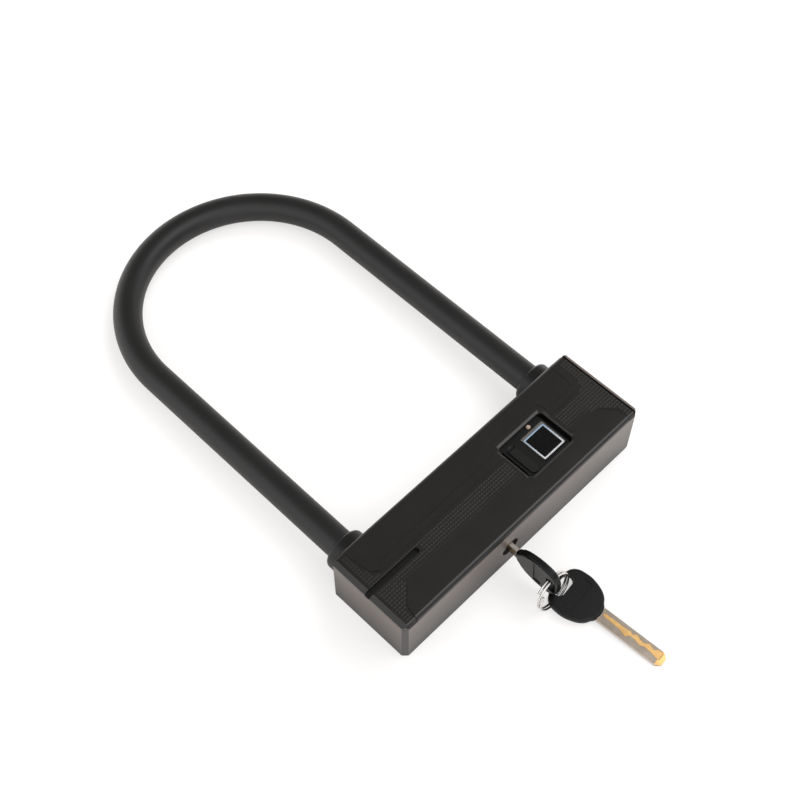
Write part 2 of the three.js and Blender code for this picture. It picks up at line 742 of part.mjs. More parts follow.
const gearPlate = { thickness: 1.2, behind: 18, ahead: 26, topGap: 2.6 };
gearPlate.fromX = keyAxisX - gearPlate.behind;
gearPlate.toX = keyAxisX + gearPlate.ahead;
gearPlate.topZ = deckFloorZ - gearPlate.topGap;
gearPlate.toY = bearing.pinionFromY - runGap;
gearPlate.fromY = gearPlate.toY - gearPlate.thickness;
cylinder.rearY = gearPlate.fromY - tail.discThickness - 2 * runGap - cylinder.tailGap;

const motor = { drop: 1.5, width: 12, height: 10, canLength: 15, boxLength: 9, shaftRadius: 1.5 };
motor.z = axisHeight - motor.drop;
motor.distance = (gearing.driveTeeth + gearing.motorTeeth) * gearing.module / 2;
motor.x = keyAxisX + Math.sqrt(motor.distance ** 2 - motor.drop ** 2);
motor.angle = Math.atan2(motor.z - axisHeight, motor.x - keyAxisX);
motor.faceY = gearPlate.fromY;
motor.boxFromY = motor.faceY - motor.boxLength;
motor.canFromY = motor.boxFromY - motor.canLength;

function makePinion() {
  const teeth = slabY(gearShape(gearing.pinionTeeth, Math.PI / 2), bearing.pinionFromY, bearing.pinionToY);
  const shaft = barY(
    bearing.shaftRadius, bearing.pinionToY - bearing.shaftOverlap, bearing.shaftToY, 0, 0, facets.bar);
  const flat = block(
    [-overrun, bearing.pinionToY, bearing.shaftRadius * flatShare], [overrun, bearing.driveToY, overrun]);
  const slot = blockAt(
    [0, bearing.pinionFromY, 0],
    [tail.thickness + 2 * seatGap, 2 * (tail.reach + seatGap), tail.width + 2 * seatGap])
    .rotateY(-keyRoll);
  return cut(join(teeth, cut(shaft, flat)), slot);
}

function makeDriveGear() {
  const fromY = bearing.driveFromY - overrun;
  const toY = bearing.driveToY + overrun;
  const blank = slabY(
    gearShape(gearing.driveTeeth, motor.angle), bearing.driveFromY, bearing.driveToY);
  const bore = common(
    barY(bearing.shaftRadius + seatGap, fromY, toY, 0, 0, facets.bar),
    block([-overrun, fromY, -overrun], [overrun, toY, bearing.shaftRadius * flatShare + seatGap]));
  const holes = Array.from({ length: wheel.holes }, (unused, index) => {
    const angle = index * 2 * Math.PI / wheel.holes;
    return barY(
      wheel.holeRadius, fromY, toY,
      wheel.holeCircle * Math.cos(angle), wheel.holeCircle * Math.sin(angle), facets.pin);
  });
  return cut(blank, bore, ...holes);
}

// The front plate carries the gearbox, and its ledges hold both racks in mesh
function makeGearPlate() {
  const wall = block(
    [gearPlate.fromX, gearPlate.fromY, baseThickness], [gearPlate.toX, gearPlate.toY, gearPlate.topZ]);
  const ledges = [-1, 1].map((side) => blockAt(
    [keyAxisX, (gearPlate.fromY + bearing.pinionToY) / 2,
      axisHeight + side * (rack.topHeight + runGap + rack.ledge / 2)],
    [2 * rack.reachBack, bearing.pinionToY - gearPlate.fromY, rack.ledge]));
  const tailHole = barY(
    Math.hypot(tail.width, tail.thickness) / 2 + runGap, gearPlate.fromY - overrun, gearPlate.toY + overrun,
    keyAxisX, axisHeight, facets.bar);
  const shaftHole = barY(
    motor.shaftRadius + runGap, gearPlate.fromY - overrun, gearPlate.toY + overrun,
    motor.x, motor.z, facets.pin);
  return cut(join(wall, ...ledges), tailHole, shaftHole);
}

function makeBearingPlate() {
  const fromY = bearing.plateFromY - overrun;
  const toY = bearing.plateToY + overrun;
  const plate = block(
    [gearPlate.fromX, bearing.plateFromY, baseThickness],
    [gearPlate.toX, bearing.plateToY, gearPlate.topZ]);
  const bushHole = barY(
    bearing.shaftRadius + bearing.bushWall + runGap + seatGap, fromY, toY, keyAxisX, axisHeight);
  const shaftHole = barY(motor.shaftRadius + runGap, fromY, toY, motor.x, motor.z, facets.pin);
  return cut(plate, bushHole, shaftHole);
}

function makeMotorCan() {
  const round = barY(motor.width / 2, motor.canFromY, motor.boxFromY, 0, 0, facets.bar);
  return common(round, block(
    [-motor.width, motor.canFromY - overrun, -motor.height / 2],
    [motor.width, motor.boxFromY + overrun, motor.height / 2]));
}

function makeGearbox() {
  const middleY = (motor.boxFromY + motor.faceY) / 2;
  const box = blockAt([0, middleY, 0], [motor.width, motor.boxLength, motor.height]);
  return cut(box, barY(
    motor.shaftRadius + runGap, middleY, motor.faceY + overrun, 0, 0, facets.pin));
}

function makeMotorGear() {
  const halfPitch = Math.PI / gearing.motorTeeth;
  const teeth = slabY(
    gearShape(gearing.motorTeeth, motor.angle + Math.PI + halfPitch),
    bearing.driveFromY, bearing.driveToY);
  const shaftFromY = motor.faceY - motor.boxLength / 2 + runGap;
  return join(teeth, barY(motor.shaftRadius, shaftFromY, bearing.plateToY, 0, 0, facets.pin));
}

piece('pinion_shaft', makePinion(), 'steel').position.set(keyAxisX, 0, axisHeight);
piece('drive_gear', makeDriveGear(), 'brass').position.set(keyAxisX, 0, axisHeight);
piece('shaft_bush', ringY(
  bearing.shaftRadius + runGap, bearing.shaftRadius + runGap + bearing.bushWall,
  bearing.plateFromY, bearing.plateToY), 'brass').position.set(keyAxisX, 0, axisHeight);
piece('gear_plate', makeGearPlate(), 'steel');
piece('bearing_plate', makeBearingPlate(), 'steel');
piece('motor', makeMotorCan(), 'steel').position.set(motor.x, 0, motor.z);
piece('gearbox', makeGearbox(), 'brass').position.set(motor.x, 0, motor.z);
piece('motor_gear', makeMotorGear(), 'steel').position.set(motor.x, 0, motor.z);

// Lock cylinder: housing on its saddle, plug, sliders and tail piece

// A key is drawn in its own plane, its shoulder at the origin and its bow along +Y
const key = {
  shoulderDistance: 6.1, tipGap: 0.4, bladeWidth: 9, bladeThickness: 2.4, tipChamfer: 2.2,
  tang: { length: 12, width: 6 },
  bow: { length: 30, halfWidth: 14.6, thickness: 4.4, bevel: 1.6 },
  slot: { length: 15, width: 6, distance: 25.2 },
  recess: { length: 8, width: 23, distance: 15, depth: 0.5 },
  track: { width: 2.2, depth: 0.45 },
};
key.shoulderY = -halfWidth - key.shoulderDistance;
key.bladeLength = cylinder.rearY - key.tipGap - key.shoulderY;

const sliders = { count: 4, frontGap: 9.5, rearGap: 6.6, width: 2.4, height: 6, thickness: 1.6 };
sliders.firstY = -halfWidth + sliders.frontGap;
sliders.span = cylinder.rearY - sliders.rearGap - sliders.firstY;
sliders.pitch = sliders.span / (sliders.count - 1);
const sidebar = { thickness: 0.9, height: 1.4 };
sidebar.x = cylinder.plugRadius - sidebar.thickness / 2 - seatGap;
sidebar.y = sliders.firstY + sliders.span / 2;
sidebar.length = sliders.span + 2 * sliders.thickness;
const keyway = { halfThickness: key.bladeThickness / 2 + runGap, halfWidth: key.bladeWidth / 2 + runGap };

// The plug lies a little turned, as the key leans in its keyway
const barrel = new THREE.Group();
barrel.position.set(keyAxisX, 0, axisHeight);
barrel.rotation.y = -keyRoll;
lock.add(barrel);

function makeHousing() {
  const body = barY(cylinder.housingRadius, -cavityHalfWidth, cylinder.rearY);
  return cut(body, barY(cylinder.plugRadius + runGap, -halfWidth - overrun, cylinder.rearY + overrun));
}

function sliderPlaces() {
  return Array.from({ length: sliders.count }, (unused, index) => sliders.firstY + index * sliders.pitch);
}

function makePlug() {
  const frontY = -halfWidth + cylinder.faceRecess;
  const body = barY(cylinder.plugRadius, frontY, cylinder.rearY);
  const way = block(
    [-keyway.halfThickness, frontY - overrun, -keyway.halfWidth],
    [keyway.halfThickness, cylinder.rearY + overrun, keyway.halfWidth]);
  const pockets = sliderPlaces().map((y) => blockAt(
    [keyway.halfThickness + sliders.width / 2, y, 0],
    [sliders.width + 2 * seatGap, sliders.thickness + 2 * seatGap, sliders.height + 2 * seatGap]));
  const barSlot = blockAt(
    [sidebar.x - seatGap + overrun / 2, sidebar.y, 0],
    [sidebar.thickness + overrun, sidebar.length + 2 * seatGap, sidebar.height + 2 * seatGap]);
  return cut(body, way, ...pockets, barSlot);
}

// A disc behind the plug, with a blade that reaches into the pinion's slot
function makeTail() {
  const discFromY = cylinder.rearY + runGap;
  const disc = barY(tail.discRadius, discFromY, discFromY + tail.discThickness);
  const blade = block(
    [-tail.thickness / 2, discFromY, -tail.width / 2],
    [tail.thickness / 2, bearing.pinionFromY + tail.reach, tail.width / 2]);
  return join(disc, blade);
}

const saddle = { inset: 3, dropShare: 0.5 };

function makeSaddle() {
  const topZ = axisHeight - cylinder.housingRadius * saddle.dropShare;
  const solid = block(
    [-cylinder.housingRadius, -cavityHalfWidth + saddle.inset, baseThickness],
    [cylinder.housingRadius, cylinder.rearY - saddle.inset, topZ]);
  return cut(solid, barY(
    cylinder.housingRadius + seatGap, -halfWidth, cylinder.rearY + overrun, 0, axisHeight));
}

piece('cylinder_housing', makeHousing(), 'brass').position.set(keyAxisX, 0, axisHeight);
piece('cylinder_saddle', makeSaddle(), 'steel').position.set(keyAxisX, 0, 0);
piece('cylinder_plug', makePlug(), 'black', barrel);
piece('tail_piece', makeTail(), 'steel', barrel);
sliderPlaces().forEach((y, index) => {
  const plate = blockAt([0, 0, 0], [sliders.width, sliders.thickness, sliders.height]);
  const x = keyway.halfThickness + sliders.width / 2;
  piece(`slider_${index + 1}`, plate, 'brass', barrel).position.set(x, y, 0);
});
piece('sidebar', blockAt([0, 0, 0], [sidebar.thickness, sidebar.length, sidebar.height]), 'steel', barrel)
  .position.set(sidebar.x, sidebar.y, 0);

// Battery, its tray and the main board

const pack = {
  socketGap: 2, cylinderGap: 3.5, wallGap: 3, rearGap: 2.6, height: 10, trayWall: 1.2,
  boardRise: 2, boardThickness: 1.2, cornerLength: 5,
};
pack.boardHeight = axisHeight + pack.boardRise;
pack.fromX = -legX + sockets.radius + pack.socketGap + pack.trayWall + seatGap;
pack.toX = keyAxisX - cylinder.housingRadius - pack.cylinderGap - pack.trayWall - seatGap;
pack.fromY = -cavityHalfWidth + pack.wallGap + pack.trayWall + seatGap;
pack.toY = gearPlate.fromY - pack.rearGap - pack.trayWall - seatGap;
pack.boardTopZ = pack.boardHeight + pack.boardThickness;

// Four corner posts on a floor, which hold the battery and carry the board
function makeBatteryTray() {
  const rim = pack.trayWall + seatGap;
  const cutZ = baseThickness + pack.height / 2;
  const outer = block(
    [pack.fromX - rim, pack.fromY - rim, baseThickness],
    [pack.toX + rim, pack.toY + rim, pack.boardHeight]);
  const inner = block(
    [pack.fromX - seatGap, pack.fromY - seatGap, baseThickness + pack.trayWall],
    [pack.toX + seatGap, pack.toY + seatGap, pack.boardHeight + overrun]);
  const throughX = block(
    [pack.fromX - overrun, pack.fromY + pack.cornerLength, cutZ],
    [pack.toX + overrun, pack.toY - pack.cornerLength, pack.boardHeight + overrun]);
  const throughY = block(
    [pack.fromX + pack.cornerLength, pack.fromY - overrun, cutZ],
    [pack.toX - pack.cornerLength, pack.toY + overrun, pack.boardHeight + overrun]);
  return cut(outer, inner, throughX, throughY);
}

function makeBattery() {
  const floorZ = baseThickness + pack.trayWall;
  return block([pack.fromX, pack.fromY, floorZ], [pack.toX, pack.toY, floorZ + pack.height]);
}

function makeMainBoard() {
  return block(
    [pack.fromX - pack.trayWall, pack.fromY - pack.trayWall, pack.boardHeight],
    [pack.toX + pack.trayWall, pack.toY + pack.trayWall, pack.boardTopZ]);
}

// Flat flexible cable from the main board over the cylinder to the sensor board
const flex = { thickness: 0.4, width: 8, offsetY: -10.65, lap: 8, rise: 4 };

function makeFlex() {
  const y = windowY + flex.offsetY;
  const topZ = sensorBoard.floorZ - seatGap;
  const lowZ = pack.boardTopZ + seatGap;
  const endX = windowX - trays.halfX + flex.lap;
  const bendX = pack.toX + flex.rise;
  const footX = pack.toX - flex.rise;
  const t = flex.thickness;
  const shape = outline([
    [endX, topZ], [bendX - t, topZ], [footX - t, lowZ + t], [footX - flex.lap, lowZ + t],
    [footX - flex.lap, lowZ], [footX, lowZ], [bendX, topZ - t], [endX, topZ - t],
  ]);
  return slabY(shape, y - flex.width / 2, y + flex.width / 2);
}

piece('battery_tray', makeBatteryTray(), 'black');
piece('battery', makeBattery(), 'battery');
piece('main_board', makeMainBoard(), 'board');
piece('sensor_flex', makeFlex(), 'brass');

// Keys: a nickel blade in a black bow; one key is in the lock, the other lies on the table

// Half of the bow's outline, from the blade to the far end: length and half width, as shares
const bowShares = [
  [0, 0.3], [0.02, 0.46], [0.12, 0.7], [0.28, 0.88], [0.46, 0.98], [0.62, 1], [0.76, 0.94],
  [0.88, 0.77], [0.96, 0.5], [1, 0.18],
];
// The milled track's centre line: place along the blade and across its width, as shares
const trackShares = [
  [0.12, 0.2], [0.4, 0.2], [0.48, -0.02], [0.58, 0.1], [0.68, -0.12], [0.78, -0.02], [0.86, -0.2],
  [0.95, -0.2],
];

function makeBow() {
  const { length, halfWidth: reach, thickness, bevel } = key.bow;
  const half = bowShares.map(([u, v]) => [v * (reach - bevel), bevel + u * (length - 2 * bevel)]);
  const mirrored = [...half].reverse().map(([x, y]) => [-x, y]);
  const slab = new THREE.ExtrudeGeometry(outline([...half, ...mirrored]), {
    depth: thickness - 2 * bevel, bevelEnabled: true, bevelThickness: bevel, bevelSize: bevel,
    bevelSegments: 2, curveSegments: 6,
  }).translate(0, 0, -thickness / 2 + bevel);
  const slot = slabZ(pill(0, key.slot.distance, key.slot.length, key.slot.width), -overrun, overrun);
  const pocket = block(
    [-key.tang.width / 2 - seatGap, -overrun, -key.bladeThickness / 2 - seatGap],
    [key.tang.width / 2 + seatGap, key.tang.length + seatGap, key.bladeThickness / 2 + seatGap]);
  const recesses = [-1, 1].map((side) => blockAt(
    [0, key.recess.distance, side * (thickness / 2 + overrun / 2 - key.recess.depth)],
    [key.recess.width, key.recess.length, overrun]));
  return cut(slab, slot, pocket, ...recesses);
}

// The track's outline, a band of the cutter's width along its centre line
function trackShape() {
  const middle = trackShares.map(([along, across]) => [
    across * key.bladeWidth, -along * key.bladeLength]);
  const half = key.track.width / 2;
  return outline([
    ...middle.map(([x, y]) => [x - half, y]),
    ...[...middle].reverse().map(([x, y]) => [x + half, y]),
  ]);
}

function makeBlade() {
  const w = key.bladeWidth / 2;
  const t = key.tang.width / 2;
  const c = key.tipChamfer;
  const halfThickness = key.bladeThickness / 2;
  const shape = outline([
    [-t, key.tang.length], [-t, -seatGap], [-w, -seatGap], [-w, -key.bladeLength + c],
    [-w + c, -key.bladeLength], [w - c, -key.bladeLength], [w, -key.bladeLength + c], [w, -seatGap],
    [t, -seatGap], [t, key.tang.length],
  ]);
  const tracks = [
    slabZ(trackShape(), halfThickness - key.track.depth, overrun),
    slabZ(trackShape(), -overrun, -halfThickness + key.track.depth),
  ];
  return cut(slabZ(shape, -halfThickness, halfThickness), ...tracks);
}

const keyInLock = new THREE.Group();
keyInLock.position.set(0, key.shoulderY, 0);
keyInLock.quaternion.setFromRotationMatrix(new THREE.Matrix4().makeBasis(
  new THREE.Vector3(0, 0, 1), new THREE.Vector3(0, -1, 0), new THREE.Vector3(1, 0, 0)));
barrel.add(keyInLock);
piece('key_1_blade', makeBlade(), 'nickel', keyInLock);
piece('key_1_bow', makeBow(), 'black', keyInLock);

// The lock lies tipped on its rear bottom edge and its bend, so the table slopes in this frame
const table = new THREE.Group();
table.position.set(0, halfWidth, 0);
table.rotation.x = Math.atan2(axisHeight - sleeveRadius, armLength + bendRadius);
lock.add(table);

const looseKey = { sideways: 11.2, spread: 1.4, rise: 1.2 };
looseKey.yaw = 5.7 * Math.PI / 180;
looseKey.pitch = 2.8 * Math.PI / 180;
looseKey.lift = key.bow.thickness / 2 + looseKey.rise;
looseKey.shoulderY = key.shoulderY - 2 * key.slot.distance - looseKey.spread;

// Its tip turns up towards the body's side, and its bow points back at the lock
const keyOnTable = new THREE.Group();
keyOnTable.position.set(keyAxisX + looseKey.sideways, looseKey.shoulderY - halfWidth, looseKey.lift);
keyOnTable.rotation.set(looseKey.pitch, 0, looseKey.yaw, 'ZYX');
table.add(keyOnTable);
piece('key_2_blade', makeBlade(), 'nickel', keyOnTable);
piece('key_2_bow', makeBow(), 'black', keyOnTable);

// Split ring: two turns of wire through the slots of both bows
const splitRing = { radius: 11.9, wireRadius: 0.65, pitch: 1.75, sideways: -0.4, forward: 1.4, drop: 7.3 };
const winding = { turns: 2, stepsPerTurn: 24, sides: 6, startTurn: 0.4, lean: 8 * Math.PI / 180 };

class RingPath extends THREE.Curve {
  getPoint(t, target = new THREE.Vector3()) {
    const angle = 2 * Math.PI * (winding.startTurn + winding.turns * t);
    return target.set(
      splitRing.radius * Math.cos(angle),
      splitRing.pitch * winding.turns * (t - 0.5),
      splitRing.radius * Math.sin(angle));
  }
}

function makeSplitRing() {
  const path = new RingPath();
  const steps = winding.turns * winding.stepsPerTurn;
  const points = path.getSpacedPoints(steps);
  let nearest = Infinity;
  points.forEach((point, index) => {
    points.slice(index + winding.stepsPerTurn / 2).forEach((other) => {
      nearest = Math.min(nearest, point.distanceTo(other));
    });
  });
  console.log(`split ring: least gap between turns ${(nearest - 2 * splitRing.wireRadius).toFixed(2)} mm`);
  return new THREE.ExtrudeGeometry(circle(splitRing.wireRadius), {
    steps, bevelEnabled: false, extrudePath: path, curveSegments: winding.sides / 2,
  });
}

const ringMesh = piece('split_ring', makeSplitRing(), 'nickel');
ringMesh.position.set(
  keyAxisX + splitRing.sideways,
  key.shoulderY - key.slot.distance - splitRing.forward,
  axisHeight - splitRing.drop);
ringMesh.rotation.x = -winding.lean;

export default lock;
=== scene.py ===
# %% [markdown]
# # A U lock with a fingerprint reader
# The real lock is a long steel body with a moulded cover, a rubber covered shackle and two keys on a
# split ring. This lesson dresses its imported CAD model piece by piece. A whole lock could be sculpted as
# one mesh, but the CAD model already knows where each piece sits and what moves with what, so each new
# piece is made on top of its CAD node and rides on the same body.

# %% Load the frame
import json
import math

import bmesh
import bpy
from mathutils import Matrix, Vector

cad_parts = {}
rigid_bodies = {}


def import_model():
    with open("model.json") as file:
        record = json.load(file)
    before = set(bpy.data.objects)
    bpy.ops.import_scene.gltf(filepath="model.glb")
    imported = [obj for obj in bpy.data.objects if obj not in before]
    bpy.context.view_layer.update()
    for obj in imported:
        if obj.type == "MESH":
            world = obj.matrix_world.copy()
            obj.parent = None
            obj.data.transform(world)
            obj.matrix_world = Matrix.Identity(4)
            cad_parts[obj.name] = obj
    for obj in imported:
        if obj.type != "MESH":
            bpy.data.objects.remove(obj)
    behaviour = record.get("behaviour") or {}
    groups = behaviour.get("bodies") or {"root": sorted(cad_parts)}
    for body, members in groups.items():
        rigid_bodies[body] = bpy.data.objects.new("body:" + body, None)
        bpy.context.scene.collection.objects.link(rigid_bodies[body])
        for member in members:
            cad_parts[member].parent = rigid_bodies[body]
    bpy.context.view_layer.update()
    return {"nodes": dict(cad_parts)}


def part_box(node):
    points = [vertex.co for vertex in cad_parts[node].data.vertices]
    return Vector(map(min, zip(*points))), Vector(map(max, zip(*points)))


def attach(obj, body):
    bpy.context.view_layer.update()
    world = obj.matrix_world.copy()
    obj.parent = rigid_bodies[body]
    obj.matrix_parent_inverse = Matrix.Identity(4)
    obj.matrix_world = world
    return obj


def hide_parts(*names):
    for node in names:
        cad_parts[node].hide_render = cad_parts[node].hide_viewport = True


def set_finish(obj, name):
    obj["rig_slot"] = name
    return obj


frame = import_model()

MM = 0.001

# %% [markdown]
# ## Camera
# The photograph looks down on the lock from its front left. A camera could be turned by eye until it
# fits, but here its place and its directions come from a fit of known corners of the lock, so the render
# lies over the photograph.

# %% The photograph's camera
def make_camera():
    right = Vector((0.70390, -0.71029, -0.00246))
    forward = Vector((0.37846, 0.37798, -0.84492))
    up = right.cross(forward)
    turn = Matrix((right, up, -forward)).transposed()
    lens = bpy.data.cameras.new("camera")
    lens.lens = 61.98
    lens.sensor_width = 36
    lens.clip_start = 10 * MM
    lens.clip_end = 20
    camera = bpy.data.objects.new("camera", lens)
    camera.matrix_world = Matrix.Translation(Vector((-295.18, -225.38, 705.91)) * MM) @ turn.to_4x4()
    bpy.context.scene.collection.objects.link(camera)
    bpy.context.scene.camera = camera
    return camera


camera = make_camera()
print("camera at", [round(value, 3) for value in camera.matrix_world.translation])

# %% [markdown]
# ## Working by hand, in code
# In Blender a modeller adds a primitive, opens it in edit mode, picks faces or edges, and extrudes or
# bevels them. The same can be written with bmesh alone, but the operators are what a reader will find in
# the menus, so these helpers only wrap them: one closes over picking, one over modifiers.

# %% Pick, open and close
def deselect():
    bpy.ops.object.select_all(action="DESELECT")


def take(piece):
    deselect()
    piece.select_set(True)
    bpy.context.view_layer.objects.active = piece


def choose(piece, kind, test):
    """Opens the piece in edit mode, with the vertices, edges or faces that pass the test selected."""
    take(piece)
    bpy.ops.object.mode_set(mode="EDIT")
    bpy.ops.mesh.select_mode(type=kind)
    bpy.ops.mesh.select_all(action="DESELECT")
    mesh = bmesh.from_edit_mesh(piece.data)
    parts = {"VERT": mesh.verts, "EDGE": mesh.edges, "FACE": mesh.faces}[kind]
    mesh.normal_update()
    for part in parts:
        part.select_set(test(part))
    mesh.select_flush_mode()
    bmesh.update_edit_mesh(piece.data)


def choose_all(piece):
    take(piece)
    bpy.ops.object.mode_set(mode="EDIT")
    bpy.ops.mesh.select_all(action="SELECT")


def close():
    bpy.ops.object.mode_set(mode="OBJECT")


def faces_towards(direction):
    return lambda face: face.normal.dot(Vector(direction)) > 0.99


# %% Shape what is picked
def extrude(x, y, z):
    bpy.ops.mesh.extrude_region_move(TRANSFORM_OT_translate={"value": (x, y, z)})


def turn_outwards():
    """Turns all faces of the open piece outwards, and closes it."""
    bpy.ops.mesh.select_all(action="SELECT")
    bpy.ops.mesh.normals_make_consistent(inside=False)
    close()


def slice_off(piece, place, direction):
    """Cuts away all that lies past a plane, and closes the cut."""
    choose_all(piece)
    bpy.ops.mesh.bisect(plane_co=place, plane_no=direction, use_fill=True, clear_outer=True)
    close()


# %% Finish a mesh
def modify(piece, kind, **settings):
    """Adds a modifier, sets it and applies it."""
    take(piece)
    modifier = piece.modifiers.new(kind.title(), kind)
    for name, value in settings.items():
        setattr(modifier, name, value)
    bpy.ops.object.modifier_apply(modifier=modifier.name)


def combine(piece, operation, tools):
    for tool in tools:
        modify(piece, "BOOLEAN", operation=operation, solver="EXACT", object=tool)
        bpy.data.objects.remove(tool)


def cut(piece, *tools):
    combine(piece, "DIFFERENCE", tools)


def join(piece, *tools):
    combine(piece, "UNION", tools)


def round_edges(piece, width, segments=2, angle=40):
    modify(piece, "BEVEL", width=width, segments=segments, limit_method="ANGLE",
           angle_limit=math.radians(angle), harden_normals=False, use_clamp_overlap=True)


def smooth(piece, angle=35):
    """Smooth shading up to an angle. The broad faces stay flat and the small ones beside them turn."""
    take(piece)
    bpy.ops.object.shade_smooth_by_angle(angle=math.radians(angle))
    modify(piece, "WEIGHTED_NORMAL", keep_sharp=True)


def bevel_face(piece, direction, width, segments):
    """Bevels the edges round the faces that look in a direction."""
    choose(piece, "FACE", faces_towards(direction))
    bpy.ops.mesh.bevel(offset=width, segments=segments, affect="EDGES")
    close()


def mark(piece, name, test):
    """Stores on each face whether it passes a test, for the finish to read."""
    marked = piece.data.attributes.new(name, "FLOAT", "FACE")
    for face in piece.data.polygons:
        marked.data[face.index].value = float(test(face))


def tidy_mesh(piece, distance=0.002 * MM):
    """Welds loose triangles, joins flat neighbours and turns the faces outwards."""
    choose_all(piece)
    bpy.ops.mesh.remove_doubles(threshold=distance)
    bpy.ops.mesh.dissolve_limited(angle_limit=math.radians(1))
    turn_outwards()


def adopt(piece, body, slot, *nodes):
    """The piece rides on a body, takes its finish from a slot and stands for these CAD nodes."""
    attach(piece, body)
    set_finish(piece, slot)
    if nodes:
        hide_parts(*nodes)
    piece.data.calc_loop_triangles()
    print(f"{piece.name}: {len(piece.data.loop_triangles)} triangles on {body}")
    return piece


# %% [markdown]
# Most new pieces start as a cube, a cylinder, a circle or a grid. A primitive could be scaled and moved
# as an object, but then each later width would be stretched too, so its size and place go into its mesh
# at once and its object stays at the origin.

# %% Primitives at their size and place
def placed(name):
    """Names the new primitive and moves its place and size into its mesh."""
    piece = bpy.context.object
    piece.name = name
    piece.data.name = name
    bpy.ops.object.transform_apply(location=True, rotation=True, scale=True)
    return piece


def block(name, low, high):
    deselect()
    size = [b - a for a, b in zip(low, high)]
    centre = [(a + b) / 2 for a, b in zip(low, high)]
    bpy.ops.mesh.primitive_cube_add(size=1, location=centre)
    bpy.context.object.scale = size
    return placed(name)


def pillar(name, centre, radius, depth, sides=48, turn=(0, 0, 0)):
    deselect()
    bpy.ops.mesh.primitive_cylinder_add(
        vertices=sides, radius=radius, depth=depth, location=centre, rotation=turn)
    return placed(name)


def rounded_block(name, low, high, radius, segments=8):
    """A block whose four upright edges are rounded."""
    piece = block(name, low, high)
    choose(piece, "EDGE", lambda edge: abs((edge.verts[1].co - edge.verts[0].co).normalized().z) > 0.999)
    bpy.ops.mesh.bevel(offset=radius, segments=segments, affect="EDGES", clamp_overlap=True)
    close()
    return piece


def plate(name, points, low_z, high_z):
    """A plate with a given outline: a flat round face whose corners are moved, then extruded."""
    deselect()
    bpy.ops.mesh.primitive_circle_add(vertices=len(points), radius=1, fill_type="NGON")
    piece = placed(name)
    for corner, (x, y) in zip(piece.data.vertices, points):
        corner.co = (x, y, low_z)
    choose(piece, "FACE", lambda face: True)
    extrude(0, 0, high_z - low_z)
    turn_outwards()
    return piece


# %% [markdown]
# ## Body sizes
# The body's walls and heights are given by the CAD nodes' boxes. They could be typed again, but reading
# them here keeps the dressed model on the frame when a size changes there. What the boxes can't tell,
# such as the radius of a rounded edge or the place of the window, is a named value.

# %% Sizes from the frame
cover_low, cover_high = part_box("top_cover")
half_length = cover_high.x
half_width = cover_high.y
top_z = cover_high.z
cover_floor_z = cover_low.z
corner_chamfer = 2.7 * MM
left_slope = {"length": 3 * MM, "height": 1.7 * MM}
right_radius = 1.3 * MM
edge_radius = 3 * MM
window = {"x": 36.95 * MM, "y": -1.35 * MM, "length": 36.3 * MM, "width": 26 * MM, "radius": 3 * MM}
slot = {"end_x": -56 * MM, "y": 0.1 * MM, "width": 3.6 * MM}
band_sink = 0.3 * MM
leg_x = (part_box("shackle_core")[1].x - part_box("shackle_core")[0].x) / 2 - 7 * MM
axis_z = (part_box("shackle_core")[0].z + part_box("shackle_core")[1].z) / 2
print(f"body {2 * half_length / MM:.0f} by {2 * half_width / MM:.0f} mm, legs at {leg_x / MM:.1f} mm")

# %% [markdown]
# ## The moulded cover
# The cover is a black moulding with rounded long edges. Its left end slopes down, its right end has a
# narrow rounded rim. Bevelling a cube gives a like shape, but its bevels meet in crumpled corners, so the
# blank is planed instead: a block is cut by one plane after another, as on a workbench. A second, smaller
# blank leaves the floor of the sunk band.

# %% Plane a blank
def plane_round(blank, centre, radius, outwards, steps):
    """Planes one upper edge round, from its wall to the top."""
    for step in range(steps):
        angle = math.radians(90) * (step + 0.5) / steps
        direction = math.cos(angle) * Vector(outwards) + math.sin(angle) * Vector((0, 0, 1))
        slice_off(blank, Vector(centre) + radius * direction, direction)


def cover_blank(name, inset):
    """The cover's outside, or a like form that lies deeper by an inset."""
    low = (-half_length + inset, -half_width + inset, cover_floor_z)
    high = (half_length - inset, half_width - inset, top_z - inset)
    blank = block(name, low, high)
    for side, other in ((-1, -1), (-1, 1), (1, -1), (1, 1)):
        corner = Vector((side * half_length, other * (half_width - corner_chamfer), 0))
        direction = Vector((side, other, 0)).normalized()
        slice_off(blank, corner - inset * direction, direction)
    slope_top = Vector((-half_length + left_slope["length"], 0, top_z))
    slope = Vector((-left_slope["height"], 0, left_slope["length"])).normalized()
    slice_off(blank, slope_top - inset * slope, slope)
    centre = (half_length - right_radius, 0, top_z - right_radius)
    plane_round(blank, centre, right_radius - inset, (1, 0, 0), 4)
    for side in (-1, 1):
        centre = (0, side * (half_width - edge_radius), top_z - edge_radius)
        plane_round(blank, centre, edge_radius - inset, (0, side, 0), 7)
    return blank


cover_shell = cover_blank("cover_shell", 0)
print("planed faces:", len(cover_shell.data.polygons))

# %% [markdown]
# The band lies between two smooth panels and spreads over both ends, where it wraps round the long
# edges. Its outline is one closed line; a plate of that outline, hollowed by the deeper blank, is the
# tool that sinks it by the same depth on the top, on the rounded edges and nowhere else.

# %% Sink the band
over = 3 * MM
tool_foot_z = cover_floor_z + 0.4 * MM
rear_panel = [(-86.4, 31), (-86, 23.2), (-84, 8.6), (-80, 5.3),
              (79, 5.5), (83.3, 7.2), (84.9, 10.5), (85.4, 31)]
front_panel = [(87.2, -31), (87.4, -20), (79.4, -11), (-75.6, -10.8), (-84.2, -18.9), (-86.4, -31)]
band_left_x = -half_length + left_slope["length"] + 0.3 * MM
groove_x = half_length - 2.3 * MM


def in_metres(points):
    return [(x * MM, y * MM) for x, y in points]


